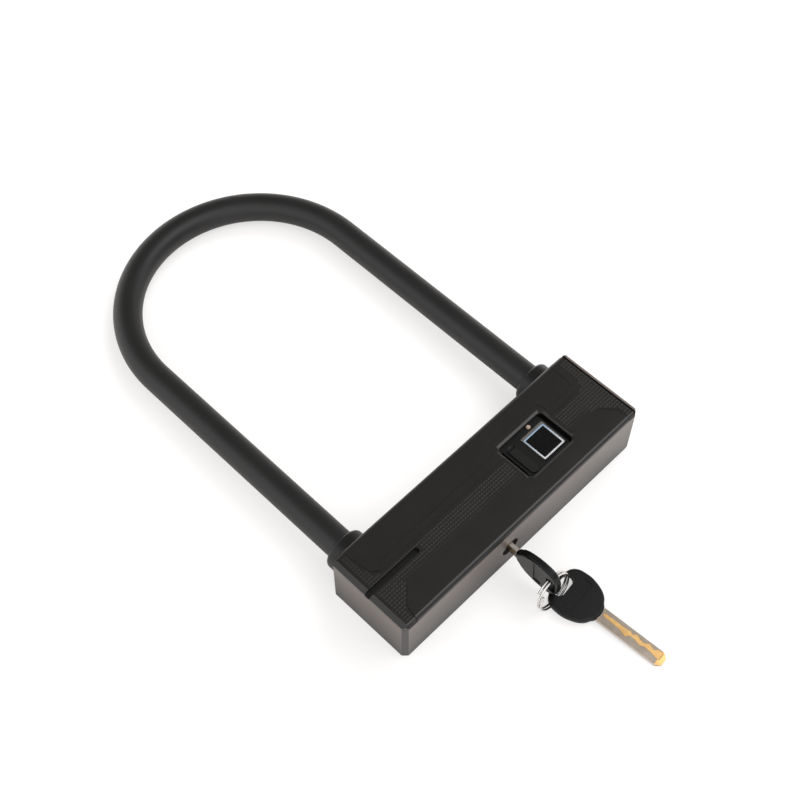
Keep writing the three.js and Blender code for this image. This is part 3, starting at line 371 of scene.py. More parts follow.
def band_outline():
    left = [(band_left_x, -half_width - over), (band_left_x, half_width + over)]
    right = [(groove_x, half_width + over), (groove_x, -half_width - over)]
    return left + in_metres(rear_panel) + right + in_metres(front_panel)


def sink_band():
    tool = plate("band_tool", band_outline(), tool_foot_z, top_z + over)
    cut(tool, cover_blank("band_floor", band_sink))
    cut(cover_shell, tool)


sink_band()
print("faces with the band:", len(cover_shell.data.polygons))

# %% [markdown]
# Fine lines are engraved in the cover: one round the rear panel and the window, two across the ends of
# the front panel, and a wider one before the right rim. Bisecting the top along them would mark them in
# colour only. A path is raised to a ribbon instead, the ribbon gets a thickness, and what of it lies below
# the cover's skin is kept as the cutter.

# %% Engrave lines
rear_line = [
    (82.4, 31), (82.2, 26.6), (80.8, 10.1), (62, 9), (58, 9.2), (57.6, 14), (55.4, 16.3), (18.4, 16.3),
    (13.6, 10.3), (-66, 10.2), (-76, 8.4), (-80, 5.6), (-84, 8.7), (-86, 23.2), (-86.3, 31)]
front_left_line = [(-76, -11.1), (-84.2, -18.9), (-85.2, -24), (-86.2, -31)]
front_right_line = [(79.6, -11.3), (87.3, -20), (87.3, -31)]
right_groove = [(groove_x / MM, y) for y in (31, 0, -31)]


def engraver(points, width, depth):
    """What a cutter of this width takes away along a path, down to a depth below the skin."""
    deselect()
    bpy.ops.mesh.primitive_circle_add(vertices=len(points), radius=1, fill_type="NOTHING")
    tool = placed("engraver")
    for corner, (x, y) in zip(tool.data.vertices, in_metres(points)):
        corner.co = (x, y, tool_foot_z)
    ends = {0, len(points) - 1}
    choose(tool, "EDGE", lambda edge: {corner.index for corner in edge.verts} == ends)
    bpy.ops.mesh.delete(type="EDGE")
    bpy.ops.mesh.select_all(action="SELECT")
    extrude(0, 0, top_z + over - cover_floor_z)
    close()
    modify(tool, "SOLIDIFY", thickness=width, offset=0, use_even_offset=True)
    choose_all(tool)
    turn_outwards()
    cut(tool, cover_blank("engraved_floor", depth))
    return tool


line_cuts = ((rear_line, 0.26, 0.2), (front_left_line, 0.55, 0.5), (front_right_line, 0.55, 0.5),
             (right_groove, 0.85, 1))
for points, width, depth in line_cuts:
    cut(cover_shell, engraver(points, width * MM, depth * MM))
print("faces with the lines:", len(cover_shell.data.polygons))

# %% [markdown]
# The window's rim slopes down to its walls, and the bracket slot runs in from the left end. Both are cut
# by rounded blocks: a boolean with a shaped tool is how a mould maker thinks, and it keeps the walls
# straight.

# %% Cut the window and the slot
rim_width = 1.4 * MM
rim_depth = 0.8 * MM
slot_rim_width = 0.35 * MM
slot_rim_depth = 0.3 * MM
slot_floor_z = cover_floor_z + 0.3 * MM
shade_strip_top_z = slot_floor_z + 0.2 * MM


def window_tool(low_z, high_z):
    reach = Vector((window["length"] / 2, window["width"] / 2))
    low = (window["x"] - reach.x, window["y"] - reach.y, low_z)
    high = (window["x"] + reach.x, window["y"] + reach.y, high_z)
    return rounded_block("window_tool", low, high, window["radius"])


def slot_tool(low_z, high_z):
    low = (-half_length - 4 * over, slot["y"] - slot["width"] / 2, low_z)
    high = (slot["end_x"], slot["y"] + slot["width"] / 2, high_z)
    return rounded_block("slot_tool", low, high, slot["width"] / 2 - 0.01 * MM)


def flared(tool, width):
    """Spreads the tool's top by a width on every side, then raises it clear of the cover."""
    size = tool.dimensions
    centre = sum((corner.co for corner in tool.data.vertices), Vector()) / len(tool.data.vertices)
    choose(tool, "FACE", faces_towards((0, 0, 1)))
    spread = (1 + 2 * width / size.x, 1 + 2 * width / size.y, 1)
    bpy.ops.transform.resize(value=spread, center_override=centre)
    extrude(0, 0, over)
    close()
    return tool


cut(cover_shell, window_tool(cover_floor_z - over, top_z + over), slot_tool(slot_floor_z, top_z + over),
    flared(window_tool(top_z - rim_depth, top_z), rim_width),
    flared(slot_tool(top_z - slot_rim_depth, top_z), slot_rim_width))
round_edges(cover_shell, 0.14 * MM, 2, 28)
smooth(cover_shell, 25)


def is_shaded_corner(face):
    """The body's broken upright corners, which the paint darkens as a painted shade."""
    return min(abs(face.normal.x), abs(face.normal.y)) > 0.5


def is_wall(face):
    """The cover's faces that carry the case paint: the upright outer walls, and the right rim, whose lighter
    paint is partly a painted highlight.
    """
    place = face.center
    outside = abs(place.x) > half_length - corner_chamfer or abs(place.y) > half_width - 0.1 * MM
    at_rim = place.x > groove_x + 0.3 * MM and face.normal.x > -0.5
    return at_rim or (outside and abs(face.normal.z) < 0.1)


mark(cover_shell, "wall", is_wall)
mark(cover_shell, "corner", is_shaded_corner)
adopt(cover_shell, "lock_body", "cover_plastic", "top_cover")

# %% [markdown]
# A thin dull black strip lies on the slot's floor as painted shade, since the deep slot is dark from shade.
# It could be painted there, but it is a part of its own with its own finish, so it is a rounded block that
# just fills the slot.

# %% Line the slot with painted shade
def make_shade_strip():
    """A dull black strip on the slot's floor: painted shade in the deep slot."""
    low = (1 * MM - half_length, slot["y"] - slot["width"] / 2 + 0.05 * MM, slot_floor_z - 0.1 * MM)
    high = (slot["end_x"] - 0.1 * MM, slot["y"] + slot["width"] / 2 - 0.05 * MM, shade_strip_top_z)
    return rounded_block("slot_shade_strip", low, high, slot["width"] / 2 - 0.1 * MM)


adopt(make_shade_strip(), "lock_body", "black_plastic")

# %% [markdown]
# ## Studs in the band
# The band is set with hundreds of low pyramids in a square grid. They could be a bump pattern, yet bump
# has no outline and goes flat in a low view. A grid of faces is poked instead: each face becomes a
# pyramid of four triangles, and the faces outside the band are deleted first.

# %% Poke a grid
stud_pitch = Vector((1.90, 1.93)) * MM
stud_height = 0.18 * MM
stud_fade = {"from_y": -4 * MM, "to_y": -11 * MM}


def inside(x, y, outline):
    """Whether a point lies within a closed outline."""
    crossings = 0
    for (ax, ay), (bx, by) in zip(outline, outline[1:] + outline[:1]):
        if (ay > y) != (by > y) and x < ax + (y - ay) * (bx - ax) / (by - ay):
            crossings += 1
    return crossings % 2 == 1


def on_band(place, margin):
    """Whether a stud fits here: within the band on all sides, and clear of the window and the slot."""
    outline = band_outline()
    around = [(place.x + dx, place.y + dy) for dx in (-margin, margin) for dy in (-margin, margin)]
    flat = half_width - edge_radius
    if abs(place.y) + margin > flat or not all(inside(x, y, outline) for x, y in around):
        return False
    in_window = (
        abs(place.x - window["x"]) < window["length"] / 2 + rim_width + margin
        and abs(place.y - window["y"]) < window["width"] / 2 + rim_width + margin)
    in_slot = place.x < slot["end_x"] + margin and abs(place.y - slot["y"]) < slot["width"] / 2 + margin
    return not in_window and not in_slot


def make_studs():
    columns = int(2 * half_length / stud_pitch.x)
    rows = int(2 * (half_width - edge_radius) / stud_pitch.y)
    floor_z = top_z - band_sink
    deselect()
    bpy.ops.mesh.primitive_grid_add(
        x_subdivisions=columns, y_subdivisions=rows, size=1, location=(0, 0, floor_z))
    bpy.context.object.scale = (columns * stud_pitch.x, rows * stud_pitch.y, 1)
    studs = placed("cover_studs")
    margin = stud_pitch.x * 0.52
    choose(studs, "FACE", lambda face: not on_band(face.calc_center_median(), margin))
    bpy.ops.mesh.delete(type="FACE")
    bpy.ops.mesh.select_all(action="SELECT")
    bpy.ops.mesh.poke(offset=stud_height)
    close()
    lower_studs(studs, floor_z)
    modify(studs, "SOLIDIFY", thickness=0.2 * MM, offset=-1)
    return studs


def lower_studs(studs, floor_z):
    """Between the window's ends the studs fade out towards the front panel."""
    for corner in studs.data.vertices:
        share = (corner.co.y - stud_fade["to_y"]) / (stud_fade["from_y"] - stud_fade["to_y"])
        if abs(corner.co.x) < 75 * MM:
            corner.co.z = floor_z + (corner.co.z - floor_z) * min(max(share, 0.2), 1)


adopt(make_studs(), "lock_body", "cover_plastic")

# %% [markdown]
# ## The steel case
# The case is a folded and welded channel whose edges were broken before painting. Its CAD mesh has the
# right shape but razor edges, which never catch the light. A copy of that mesh is welded and gets a
# small bevel, so each edge shows as a thin bright line, as painted steel does. The broken upright
# corners are marked for the paint, which darkens them as a painted shade.

# %% Break the case's edges
def softened_copy(name, node, width, segments=2, angle=40):
    """A merged copy of a CAD node with its edges rounded a little."""
    piece = bpy.data.objects.new(name, frame["nodes"][node].data.copy())
    bpy.context.scene.collection.objects.link(piece)
    take(piece)
    bpy.ops.mesh.customdata_custom_splitnormals_clear()
    piece.data.materials.clear()
    tidy_mesh(piece)
    round_edges(piece, width, segments, angle)
    smooth(piece)
    return piece


case_shell = adopt(softened_copy("case_shell", "case", 0.2 * MM), "lock_body", "case_paint", "case")
mark(case_shell, "corner", is_shaded_corner)

# %% [markdown]
# ## Shackle sleeve
# The shackle is a bent bar in a seamless rubber sleeve. A bevelled curve would give a like tube, but a
# circle that is extruded, spun round the bend and extruded again keeps its rings square to the bar.

# %% Spin the sleeve
sleeve_low, sleeve_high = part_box("shackle_sleeve")
sleeve_radius = (sleeve_high.z - sleeve_low.z) / 2
bend_y = sleeve_high.y - (leg_x + sleeve_radius)
leg_steps = 6


def make_sleeve():
    foot_y = sleeve_low.y
    leg_step = (bend_y - foot_y) / leg_steps
    deselect()
    bpy.ops.mesh.primitive_circle_add(
        vertices=48, radius=sleeve_radius, fill_type="NOTHING", location=(leg_x, foot_y, axis_z),
        rotation=(math.radians(90), 0, 0))
    sleeve = placed("sleeve")
    choose(sleeve, "EDGE", lambda edge: True)
    for step in range(leg_steps):
        extrude(0, leg_step, 0)
    bpy.ops.mesh.spin(
        steps=72, angle=math.radians(180), center=(0, bend_y, axis_z), axis=(0, 0, -1), use_auto_merge=False)
    for step in range(leg_steps):
        extrude(0, -leg_step, 0)
    bpy.ops.mesh.select_all(action="SELECT")
    bpy.ops.mesh.remove_doubles(threshold=0.001 * MM)
    turn_outwards()
    modify(sleeve, "SOLIDIFY", thickness=1.7 * MM, offset=-1, use_even_offset=True)
    round_edges(sleeve, 0.5 * MM, 3, 60)
    smooth(sleeve)
    return sleeve


adopt(make_sleeve(), "shackle", "sleeve_rubber", "shackle_sleeve")
print("bend starts at", round(bend_y / MM, 1), "mm")

# %% [markdown]
# ## Collars
# Where a leg enters the body it passes a collar with a rounded shoulder and a lip. A cylinder could be
# bevelled into that shape, but a collar is a turned part, so its profile is drawn once and spun about the
# leg's axis, as on a lathe.

# %% Turn the collars
collar_low, collar_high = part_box("collar_right")
collar_radius = (collar_high.z - collar_low.z) / 2
collar_bore = 9.3 * MM


def collar_profile():
    """Radius and depth of the collar's outline, from the body's wall to its lip."""
    length = collar_high.y - collar_low.y
    rounding = 2.6 * MM
    points = [(collar_bore, 0), (collar_radius, 0), (collar_radius, length - rounding)]
    steps = 8
    for step in range(1, steps + 1):
        angle = math.radians(90) * step / steps
        reach = collar_radius - rounding * (1 - math.cos(angle))
        points.append((reach, length - rounding * (1 - math.sin(angle))))
    lip = collar_bore + 0.7 * MM
    return points + [(lip, length), (collar_bore, length - 0.6 * MM)]


def make_collar(name, x):
    points = collar_profile()
    deselect()
    bpy.ops.mesh.primitive_circle_add(vertices=len(points), radius=1, fill_type="NOTHING")
    collar = placed(name)
    for corner, (radius, depth) in zip(collar.data.vertices, points):
        corner.co = (x + radius, collar_low.y + depth, axis_z)
    choose(collar, "EDGE", lambda edge: True)
    bpy.ops.mesh.spin(
        steps=64, angle=math.radians(360), center=(x, 0, axis_z), axis=(0, 1, 0), use_auto_merge=True)
    bpy.ops.mesh.select_all(action="SELECT")
    bpy.ops.mesh.remove_doubles(threshold=0.001 * MM)
    turn_outwards()
    smooth(collar, 30)
    return collar


for name, x in (("left", -leg_x), ("right", leg_x)):
    adopt(make_collar(f"collar_turned_{name}", x), "lock_body", "black_plastic", f"collar_{name}")

# %% [markdown]
# ## Window fittings
# In the window lie a black tray, the reader in its bezel, a status light and a rubber flap. The tray is
# a moulding with a channel and a low rib at its left wall and a gutter at its right one. It could start
# as a new block, but a softened copy of the CAD tray already has the right outside, and only the channel,
# the gutter and the rib are added.

# %% The tray with its side channel
tray_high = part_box("window_tray")[1]
bezel_low, bezel_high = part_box("sensor_bezel")
flap_low, flap_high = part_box("charge_flap")
lens_low, lens_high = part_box("status_lens")


def make_tray():
    """The CAD tray with a channel and a low rib along its left wall, and a gutter along its right one."""
    tray = softened_copy("tray", "window_tray", 0.01 * MM, 1, 60)
    left = window["x"] - window["length"] / 2
    front = window["y"] - window["width"] / 2
    rear = window["y"] + window["width"] / 2
    right = window["x"] + window["length"] / 2
    channel_end = rear - 2.6 * MM
    channel_low = (left - over, front - over, tray_high.z - 2 * MM)
    channel_high = (left + 2 * MM, channel_end, top_z)
    gutter_low = (right - 2 * MM, front - over, tray_high.z - 1.5 * MM)
    gutter_high = (right + over, rear + over, top_z)
    rib_low = (left + 2.2 * MM, -9.5 * MM, tray_high.z - MM)
    rib_high = (left + 2.6 * MM, channel_end, tray_high.z + 0.5 * MM)
    cut(tray, block("channel", channel_low, channel_high), block("gutter", gutter_low, gutter_high))
    join(tray, block("rib", rib_low, rib_high))
    round_edges(tray, 0.12 * MM, 2, 60)
    smooth(tray)
    return tray


adopt(make_tray(), "lock_body", "black_plastic", "window_tray")

# %% [markdown]
# The reader is a stack: a bezel like a picture frame, a ring of light, and a dark pane. A frame could be
# a block whose top face is inset and pushed down, but cutting it with a smaller rounded block keeps the
# corners round inside too.

# %% Bezel, light ring and pane
reader = {"x": 42.7 * MM, "y": -2.7 * MM, "ring": 16.7 * MM, "pane": 13.6 * MM}
ring_top_z = bezel_high.z - 0.5 * MM
ring_foot_z = ring_top_z - 1.3 * MM
bezel_radius = 0.9 * MM
bezel_fall = 0.4


def reader_block(name, half, low_z, high_z, radius, segments):
    """A square block with rounded corners, centred on the reader."""
    low = (reader["x"] - half, reader["y"] - half, low_z)
    high = (reader["x"] + half, reader["y"] + half, high_z)
    return rounded_block(name, low, high, radius, segments)


def make_bezel():
    """A low frame. Its rear and right sides are broader and slope down to the tray."""
    half = reader["ring"] / 2
    low = (reader["x"] - half - 0.3 * MM, reader["y"] - half - 0.3 * MM, bezel_low.z)
    high = (reader["x"] + half + 1 * MM, reader["y"] + half + 2 * MM, ring_top_z)
    bezel = rounded_block("bezel", low, high, bezel_radius, 6)
    slice_off(bezel, (0, reader["y"] + half, ring_top_z), Vector((0, bezel_fall, 1)).normalized())
    slice_off(bezel, (reader["x"] + half, 0, ring_top_z), Vector((bezel_fall, 0, 1)).normalized())
    seat_z = ring_top_z - 1.4 * MM
    cut(bezel, reader_block("seat", half + 0.05 * MM, seat_z, ring_top_z + over, bezel_radius, 6))
    round_edges(bezel, 0.1 * MM, 2, 60)
    smooth(bezel)
    return bezel


def make_light_ring():
    """A square frame with rounded corners."""
    ring = reader_block("ring_of_light", reader["ring"] / 2, ring_foot_z, ring_top_z, bezel_radius, 6)
    hole = (reader["pane"] + 1.3 * MM) / 2
    cut(ring, reader_block("hole", hole, ring_foot_z - over, ring_top_z + over, bezel_radius * 0.6, 4))
    round_edges(ring, 0.2 * MM, 3, 60)
    smooth(ring)
    return ring


def make_pane():
    """A pane on a broader foot, which closes the gap to the ring below."""
    half = reader["pane"] / 2
    pane = reader_block("pane", half + 0.6 * MM, ring_foot_z, ring_top_z - 0.45 * MM, 0.6 * MM, 4)
    join(pane, reader_block("upper", half, ring_top_z - MM, ring_top_z - 0.1 * MM, 0.5 * MM, 4))
    round_edges(pane, 0.1 * MM, 2, 60)
    smooth(pane)
    return pane


adopt(make_bezel(), "lock_body", "steel", "sensor_bezel")
adopt(make_light_ring(), "lock_body", "light_plastic", "light_ring")
adopt(make_pane(), "lock_body", "sensor_glass", "sensor_glass")

# %% [markdown]
# The status light is a small moulded dome, and the flap over the charging port is soft rubber with a
# scoop for a fingertip. A sphere could give the dome, but a pillar whose top edge is bevelled right over
# keeps a plain round foot. The scoop is the dent that a lying pillar leaves.

# %% Status light
def make_lens():
    """A short pillar whose top edge is rounded right over into a dome."""
    radius = (lens_high.x - lens_low.x) / 2
    centre = (lens_low + lens_high) / 2
    lens = pillar("lens", centre, radius, lens_high.z - lens_low.z)
    choose(lens, "EDGE", lambda edge: all(corner.co.z > lens_high.z - 0.01 * MM for corner in edge.verts))
    bpy.ops.mesh.bevel(offset=0.55 * MM, segments=6, affect="EDGES")
    close()
    smooth(lens, 50)
    return lens


adopt(make_lens(), "lock_body", "lens_plastic", "status_lens")

# %% Flap
def make_flap():
    """A pill of rubber with a soft edge, a finger scoop at its free end and a stub below."""
    x = (flap_low.x + flap_high.x) / 2
    y = (flap_low.y + flap_high.y) / 2
    reach = 2.9 * MM
    lid_low = (x - reach, flap_low.y, tray_high.z)
    lid_high = (x + reach, flap_high.y, flap_high.z)
    flap = rounded_block("flap_lid", lid_low, lid_high, reach - 0.02 * MM, 12)
    bevel_face(flap, (0, 0, 1), 0.35 * MM, 3)
    scoop_place = (x, flap_high.y - 1.2 * MM, flap_high.z + 1.9 * MM)
    cut(flap, pillar("scoop", scoop_place, 2.5 * MM, 5 * MM, 48, (0, math.radians(90), 0)))
    stub_low = (x - 0.95 * MM, y - 3.8 * MM, flap_low.z)
    stub_high = (x + 0.95 * MM, y + 3.8 * MM, tray_high.z + 0.1 * MM)
    join(flap, rounded_block("stub", stub_low, stub_high, 0.9 * MM, 5))
    smooth(flap, 40)
    return flap


adopt(make_flap(), "flap", "rubber", "charge_flap")

# %% [markdown]
# ## Keys
# Both keys are alike: a nickel blade with a milled track, in a black bow with a slot for the ring. Each
# could be built where it lies, but a key is modelled once, flat, with its shoulder at the origin and its
# bow along +Y, and each copy gets its own mesh and its own place.

# %% Key sizes
bow = {"length": 30 * MM, "reach": 14.6 * MM, "thickness": 4.4 * MM}
bow_bevels = {"rounding": 1.5 * MM, "seam": 0.25 * MM}
ring_slot = {"length": 15 * MM, "width": 6.7 * MM, "distance": 25.2 * MM}
recess = {"length": 5.3 * MM, "width": 21.6 * MM, "distance": 15.5 * MM, "depth": 0.5 * MM}
blade = {"width": 9 * MM, "thickness": 2.4 * MM, "tang": 12 * MM, "tang_width": 6 * MM}
tip = {"length": 3.6 * MM, "angle": math.radians(12), "corner": (2.2 * MM, 3 * MM)}
track = {"depth": 0.5 * MM, "slope": 0.3 * MM}
shoulder_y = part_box("key_1_bow")[1].y
blade_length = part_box("key_1_blade")[1].y - shoulder_y
# Half of the bow's outline as shares of its length and reach, from the blade to the far end
bow_shares = [
    (0, 0.3), (0.045, 0.42), (0.125, 0.66), (0.35, 0.92), (0.64, 1), (0.87, 0.86), (0.97, 0.52), (1, 0)]
# The two sides of the milled track as shares of the blade's length and width
track_near = [
    (0.035, 0.11), (0.045, 0.03), (0.065, -0.01), (0.31, -0.06), (0.425, -0.23), (0.465, 0),
    (0.55, -0.01), (0.635, -0.12), (0.69, 0.01), (0.79, -0.04), (0.875, -0.11), (0.94, -0.12)]
track_far = [
    (0.94, 0.42), (0.86, 0.42), (0.81, 0.22), (0.73, 0.38), (0.66, 0.19), (0.61, 0.23),
    (0.53, 0.36), (0.485, 0.18), (0.45, 0.3), (0.4, 0.24), (0.065, 0.23), (0.045, 0.19)]


# %% [markdown]
# The bow is moulded as two like half shells that meet in a fine seam. Its outline is a closed smooth
# curve, since a hand drawn outline with many corners never looks as round. One shell is raised from it
# and bevelled, and a mirror makes the other.

# %% The bow
def outline_curve(name, points, handles):
    """A closed curve through points in the XY plane, smooth or with corners, made a mesh of edges."""
    deselect()
    bpy.ops.curve.primitive_bezier_circle_add(radius=1)
    curve = bpy.context.object
    curve.name = name
    spline = curve.data.splines[0]
    spline.bezier_points.add(len(points) - len(spline.bezier_points))
    spline.resolution_u = 8 if handles == "AUTO" else 1
    for knot, (x, y) in zip(spline.bezier_points, points):
        knot.handle_left_type = handles
        knot.handle_right_type = handles
        knot.co = (x, y, 0)
    curve.data.dimensions = "2D"
    curve.data.fill_mode = "NONE"
    bpy.ops.object.convert(target="MESH")
    return placed(name)


def raised_outline(name, points, handles, floor_z, height):
    """A solid on a closed curve through points, from a floor up or, with a negative height, down."""
    piece = outline_curve(name, points, handles)
    choose(piece, "EDGE", lambda edge: True)
    bpy.ops.mesh.edge_face_add()
    bpy.ops.transform.translate(value=(0, 0, floor_z))
    extrude(0, 0, height)
    turn_outwards()
    return piece


def make_bow(name):
    """Two like half shells, joined at mid thickness along a fine seam."""
    half = [(v * bow["reach"], u * bow["length"]) for u, v in bow_shares]
    mirrored = [(-x, y) for x, y in reversed(half[:-1])]
    piece = raised_outline(name, half + mirrored, "AUTO", 0, bow["thickness"] / 2)
    bevel_face(piece, (0, 0, 1), bow_bevels["rounding"], 5)
    bevel_face(piece, (0, 0, -1), bow_bevels["seam"], 1)
    choose(piece, "FACE", faces_towards((0, 0, -1)))
    bpy.ops.mesh.delete(type="FACE")
    close()
    modify(piece, "MIRROR", use_axis=(False, False, True), merge_threshold=0.01 * MM)
    choose_all(piece)
    turn_outwards()
    reach = Vector((ring_slot["length"] / 2, ring_slot["width"] / 2))
    through_low = (-reach.x, ring_slot["distance"] - reach.y, -over)
    through_high = (reach.x, ring_slot["distance"] + reach.y, over)
    cut(piece, rounded_block("through", through_low, through_high, reach.y - 0.01 * MM, 10))
    reach = Vector((recess["width"] / 2, recess["length"] / 2))
    for side in (-1, 1):
        floor_z = side * (bow["thickness"] / 2 - recess["depth"])
        clear_z = side * (bow["thickness"] / 2 + over)
        recess_low = (-reach.x, recess["distance"] - reach.y, min(floor_z, clear_z))
        recess_high = (reach.x, recess["distance"] + reach.y, max(floor_z, clear_z))
        cut(piece, block("recess", recess_low, recess_high))
    round_edges(piece, 0.12 * MM, 2, 45)
    smooth(piece, 35)
    return piece


flat_bow = make_bow("flat_bow")
print("bow faces:", len(flat_bow.data.polygons))

# %% [markdown]
# The blade is a flat bar with a cut tip, and a cutter has milled a winding track in both its flat sides.
# The track could be a bump, but its walls catch the light, so a solid with the track's outline is cut
# away from each side.

# %% The blade
def track_tool(side):
    """A block between the track's two sides, with a sloping foot."""
    points = [(v * blade["width"], -u * blade_length) for u, v in track_near + track_far]
    foot_z = side * (blade["thickness"] / 2 - track["depth"])
    tool = raised_outline("track_tool", points, "VECTOR", foot_z, side * over)
    bevel_face(tool, (0, 0, -side), track["slope"], 1)
    return tool


def make_blade(name):
    half = blade["width"] / 2
    deep = blade["thickness"] / 2
    piece = block(name, (-half, -blade_length, -deep), (half, -0.3 * MM, deep))
    across, along = tip["corner"]
    for side in (-1, 1):
        corner = (side * half, along - blade_length, 0)
        slice_off(piece, corner, Vector((side * along, -across, 0)).normalized())
        facet = Vector((0, -math.sin(tip["angle"]), side * math.cos(tip["angle"])))
        slice_off(piece, (0, tip["length"] - blade_length, side * deep), facet)
    tang_half = blade["tang_width"] / 2
    join(piece, block("tang", (-tang_half, -over, -deep), (tang_half, blade["tang"], deep)))
    cut(piece, track_tool(1), track_tool(-1))
    round_edges(piece, 0.18 * MM, 2, 50)
    smooth(piece, 30)
    mark(piece, "milled", is_milled)
    mark(piece, "edge", is_edge_highlight)
    return piece


def is_milled(face):
    """What the cutter has bared, the track and the tip."""
    flat = blade["thickness"] / 2 - 0.02 * MM
    in_track = abs(face.center.x) < blade["width"] / 2 - 0.3 * MM and abs(face.center.z) < flat
    at_tip = face.center.y < tip["length"] - blade_length and abs(face.normal.z) < 0.99
    return (in_track and face.center.y < -MM) or at_tip


def is_edge_highlight(face):
    """The blade's narrow sides, which are painted lighter as a painted highlight."""
    return abs(face.center.x) > blade["tang_width"] / 2 and abs(face.normal.x) > 0.8


flat_blade = make_blade("flat_blade")
print("blade faces:", len(flat_blade.data.polygons))

# %% [markdown]
# One key is in the lock, and the other hangs in the ring and rests on the table. Turning the objects
# would be easier, but a finished piece stays at the origin, so each copy's mesh is moved by a matrix.

# %% Put both keys in place
plug_low, plug_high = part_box("cylinder_plug")
key_roll = math.radians(5.5)
table_tilt = math.radians(1.86)
loose_yaw = math.radians(5.7)
loose_pitch = math.radians(2.8)


def key_in_lock():
    axis = Vector(((plug_low.x + plug_high.x) / 2, 0, (plug_low.z + plug_high.z) / 2))
    stand = Matrix(((0, 0, 1), (0, -1, 0), (1, 0, 0))).to_4x4()
    roll = Matrix.Rotation(-key_roll, 4, "Y")
    return Matrix.Translation(axis) @ roll @ Matrix.Translation((0, shoulder_y, 0)) @ stand


def key_on_table():
    table = Matrix.Translation((0, half_width, 0)) @ Matrix.Rotation(table_tilt, 4, "X")
    behind = 2 * ring_slot["distance"] + 1.4 * MM
    place = Vector((-0.8 * MM, shoulder_y - behind - half_width, bow["thickness"] / 2 + 1.2 * MM))
    turn = Matrix.Rotation(loose_yaw, 4, "Z") @ Matrix.Rotation(loose_pitch, 4, "X")
    return table @ Matrix.Translation(place) @ turn


def set_down(flat, name, place):
    """A copy of a flat piece with its own mesh, moved to its place."""
    piece = bpy.data.objects.new(name, flat.data.copy())
    bpy.context.scene.collection.objects.link(piece)
    piece.data.transform(place)
    return piece


for index, place in ((1, key_in_lock()), (2, key_on_table())):
    bow_piece = set_down(flat_bow, f"bow_{index}", place)
    blade_piece = set_down(flat_blade, f"blade_{index}", place)
    adopt(bow_piece, f"key_{index}", "bow_plastic", f"key_{index}_bow")
    adopt(blade_piece, f"key_{index}", "key_nickel", f"key_{index}_blade")
bpy.data.objects.remove(flat_bow)
bpy.data.objects.remove(flat_blade)

# %% [markdown]
# ## Split ring
# The ring is one wire wound twice round. A torus would hide that, so a small circle is turned by a Screw
# modifier through two turns while it climbs by one wire and a little more per turn.

# %% Wind the ring
ring = {"radius": 11.9 * MM, "wire": 0.65 * MM, "climb": 1.75 * MM, "turns": 2, "start": 0.4}
ring_centre = Vector((-12.4, -61.2, 9.7)) * MM
ring_lean = math.radians(8)
steps_per_turn = 72


def make_ring():
    start = math.radians(360) * ring["start"]
    climb = ring["climb"] * ring["turns"]
    deselect()
    bpy.ops.mesh.primitive_circle_add(
        vertices=16, radius=ring["wire"], fill_type="NOTHING", location=(ring["radius"], 0, climb / 2),
        rotation=(math.radians(90), 0, 0))
    wire = placed("ring_wire")
    wire.data.transform(Matrix.Rotation(start, 4, "Z"))
    steps = steps_per_turn * ring["turns"]
    modify(wire, "SCREW", axis="Z", angle=math.radians(360) * ring["turns"], screw_offset=-climb,
           steps=steps, render_steps=steps, use_merge_vertices=False)
    choose(wire, "EDGE", lambda edge: edge.is_boundary)
    bpy.ops.mesh.fill_holes(sides=0)
    turn_outwards()
    stand = Matrix.Rotation(math.radians(90), 4, "X")
    wire.data.transform(Matrix.Translation(ring_centre) @ Matrix.Rotation(-ring_lean, 4, "X") @ stand)
    smooth(wire, 40)
    return wire


adopt(make_ring(), "ring", "ring_chrome", "split_ring")

# %% [markdown]
# ## Writing shader maths
# A finish is mostly arithmetic on patterns: a noise here, times a mask there. Wiring each Math node by
# hand hides that arithmetic. A small class carries one socket through Python expressions instead, and
# one method makes every other node.

# %% A signal and a paint
class Signal:
    """What comes out of a node. Arithmetic on it adds Math nodes."""

    def __init__(self, paint, socket):
        self.paint = paint
        self.socket = socket

    def __add__(self, other):
        return self.paint.maths("ADD", self, other)

    def __radd__(self, other):
        return self.paint.maths("ADD", other, self)

    def __sub__(self, other):
        return self.paint.maths("SUBTRACT", self, other)

    def __rsub__(self, other):
        return self.paint.maths("SUBTRACT", other, self)

    def __mul__(self, other):
        return self.paint.maths("MULTIPLY", self, other)

    def __rmul__(self, other):
        return self.paint.maths("MULTIPLY", other, self)


class Paint:
    """The nodes of a material or of the world."""

    def __init__(self, owner):
        owner.use_nodes = True
        self.owner = owner
        self.tree = owner.node_tree

    def node(self, kind, settings, sockets, output=0):
        """Makes a node, sets it, fills its sockets with values or signals, and gives one output."""
        made = self.tree.nodes.new("ShaderNode" + kind)
        for name, value in settings.items():
            setattr(made, name, value)
        for name, value in sockets.items():
            self.fill(made.inputs[name], value)
        return Signal(self, made.outputs[output])

    def fill(self, socket, value):
        if isinstance(value, Signal):
            self.tree.links.new(value.socket, socket)
        else:
            socket.default_value = value

    def maths(self, operation, first, second):
        return self.node("Math", {"operation": operation}, {0: first, 1: second})

    def mix(self, first, second, share):
        return self.node("Mix", {"data_type": "RGBA"}, {0: share, 6: first, 7: second}, 2)

    def ramp(self, signal, low, high):
        """0 below the low value, 1 above the high one, and a straight slope between."""
        return self.node("MapRange", {}, {0: signal, 1: low, 2: high})

    def place(self, stretch=(1, 1, 1)):
        """Object coordinates in millimetres, stretched along the axes."""
        here = self.node("TexCoord", {}, {}, "Object")
        per_metre = [share / MM for share in stretch]
        return self.node("VectorMath", {"operation": "MULTIPLY"}, {0: here, 1: per_metre})

    def noise(self, size, stretch=(1, 1, 1), detail=2):
        """Clouds about so many millimetres across."""
        sockets = {"Vector": self.place(stretch), "Scale": 1 / size, "Detail": detail}
        return self.node("TexNoise", {}, sockets)


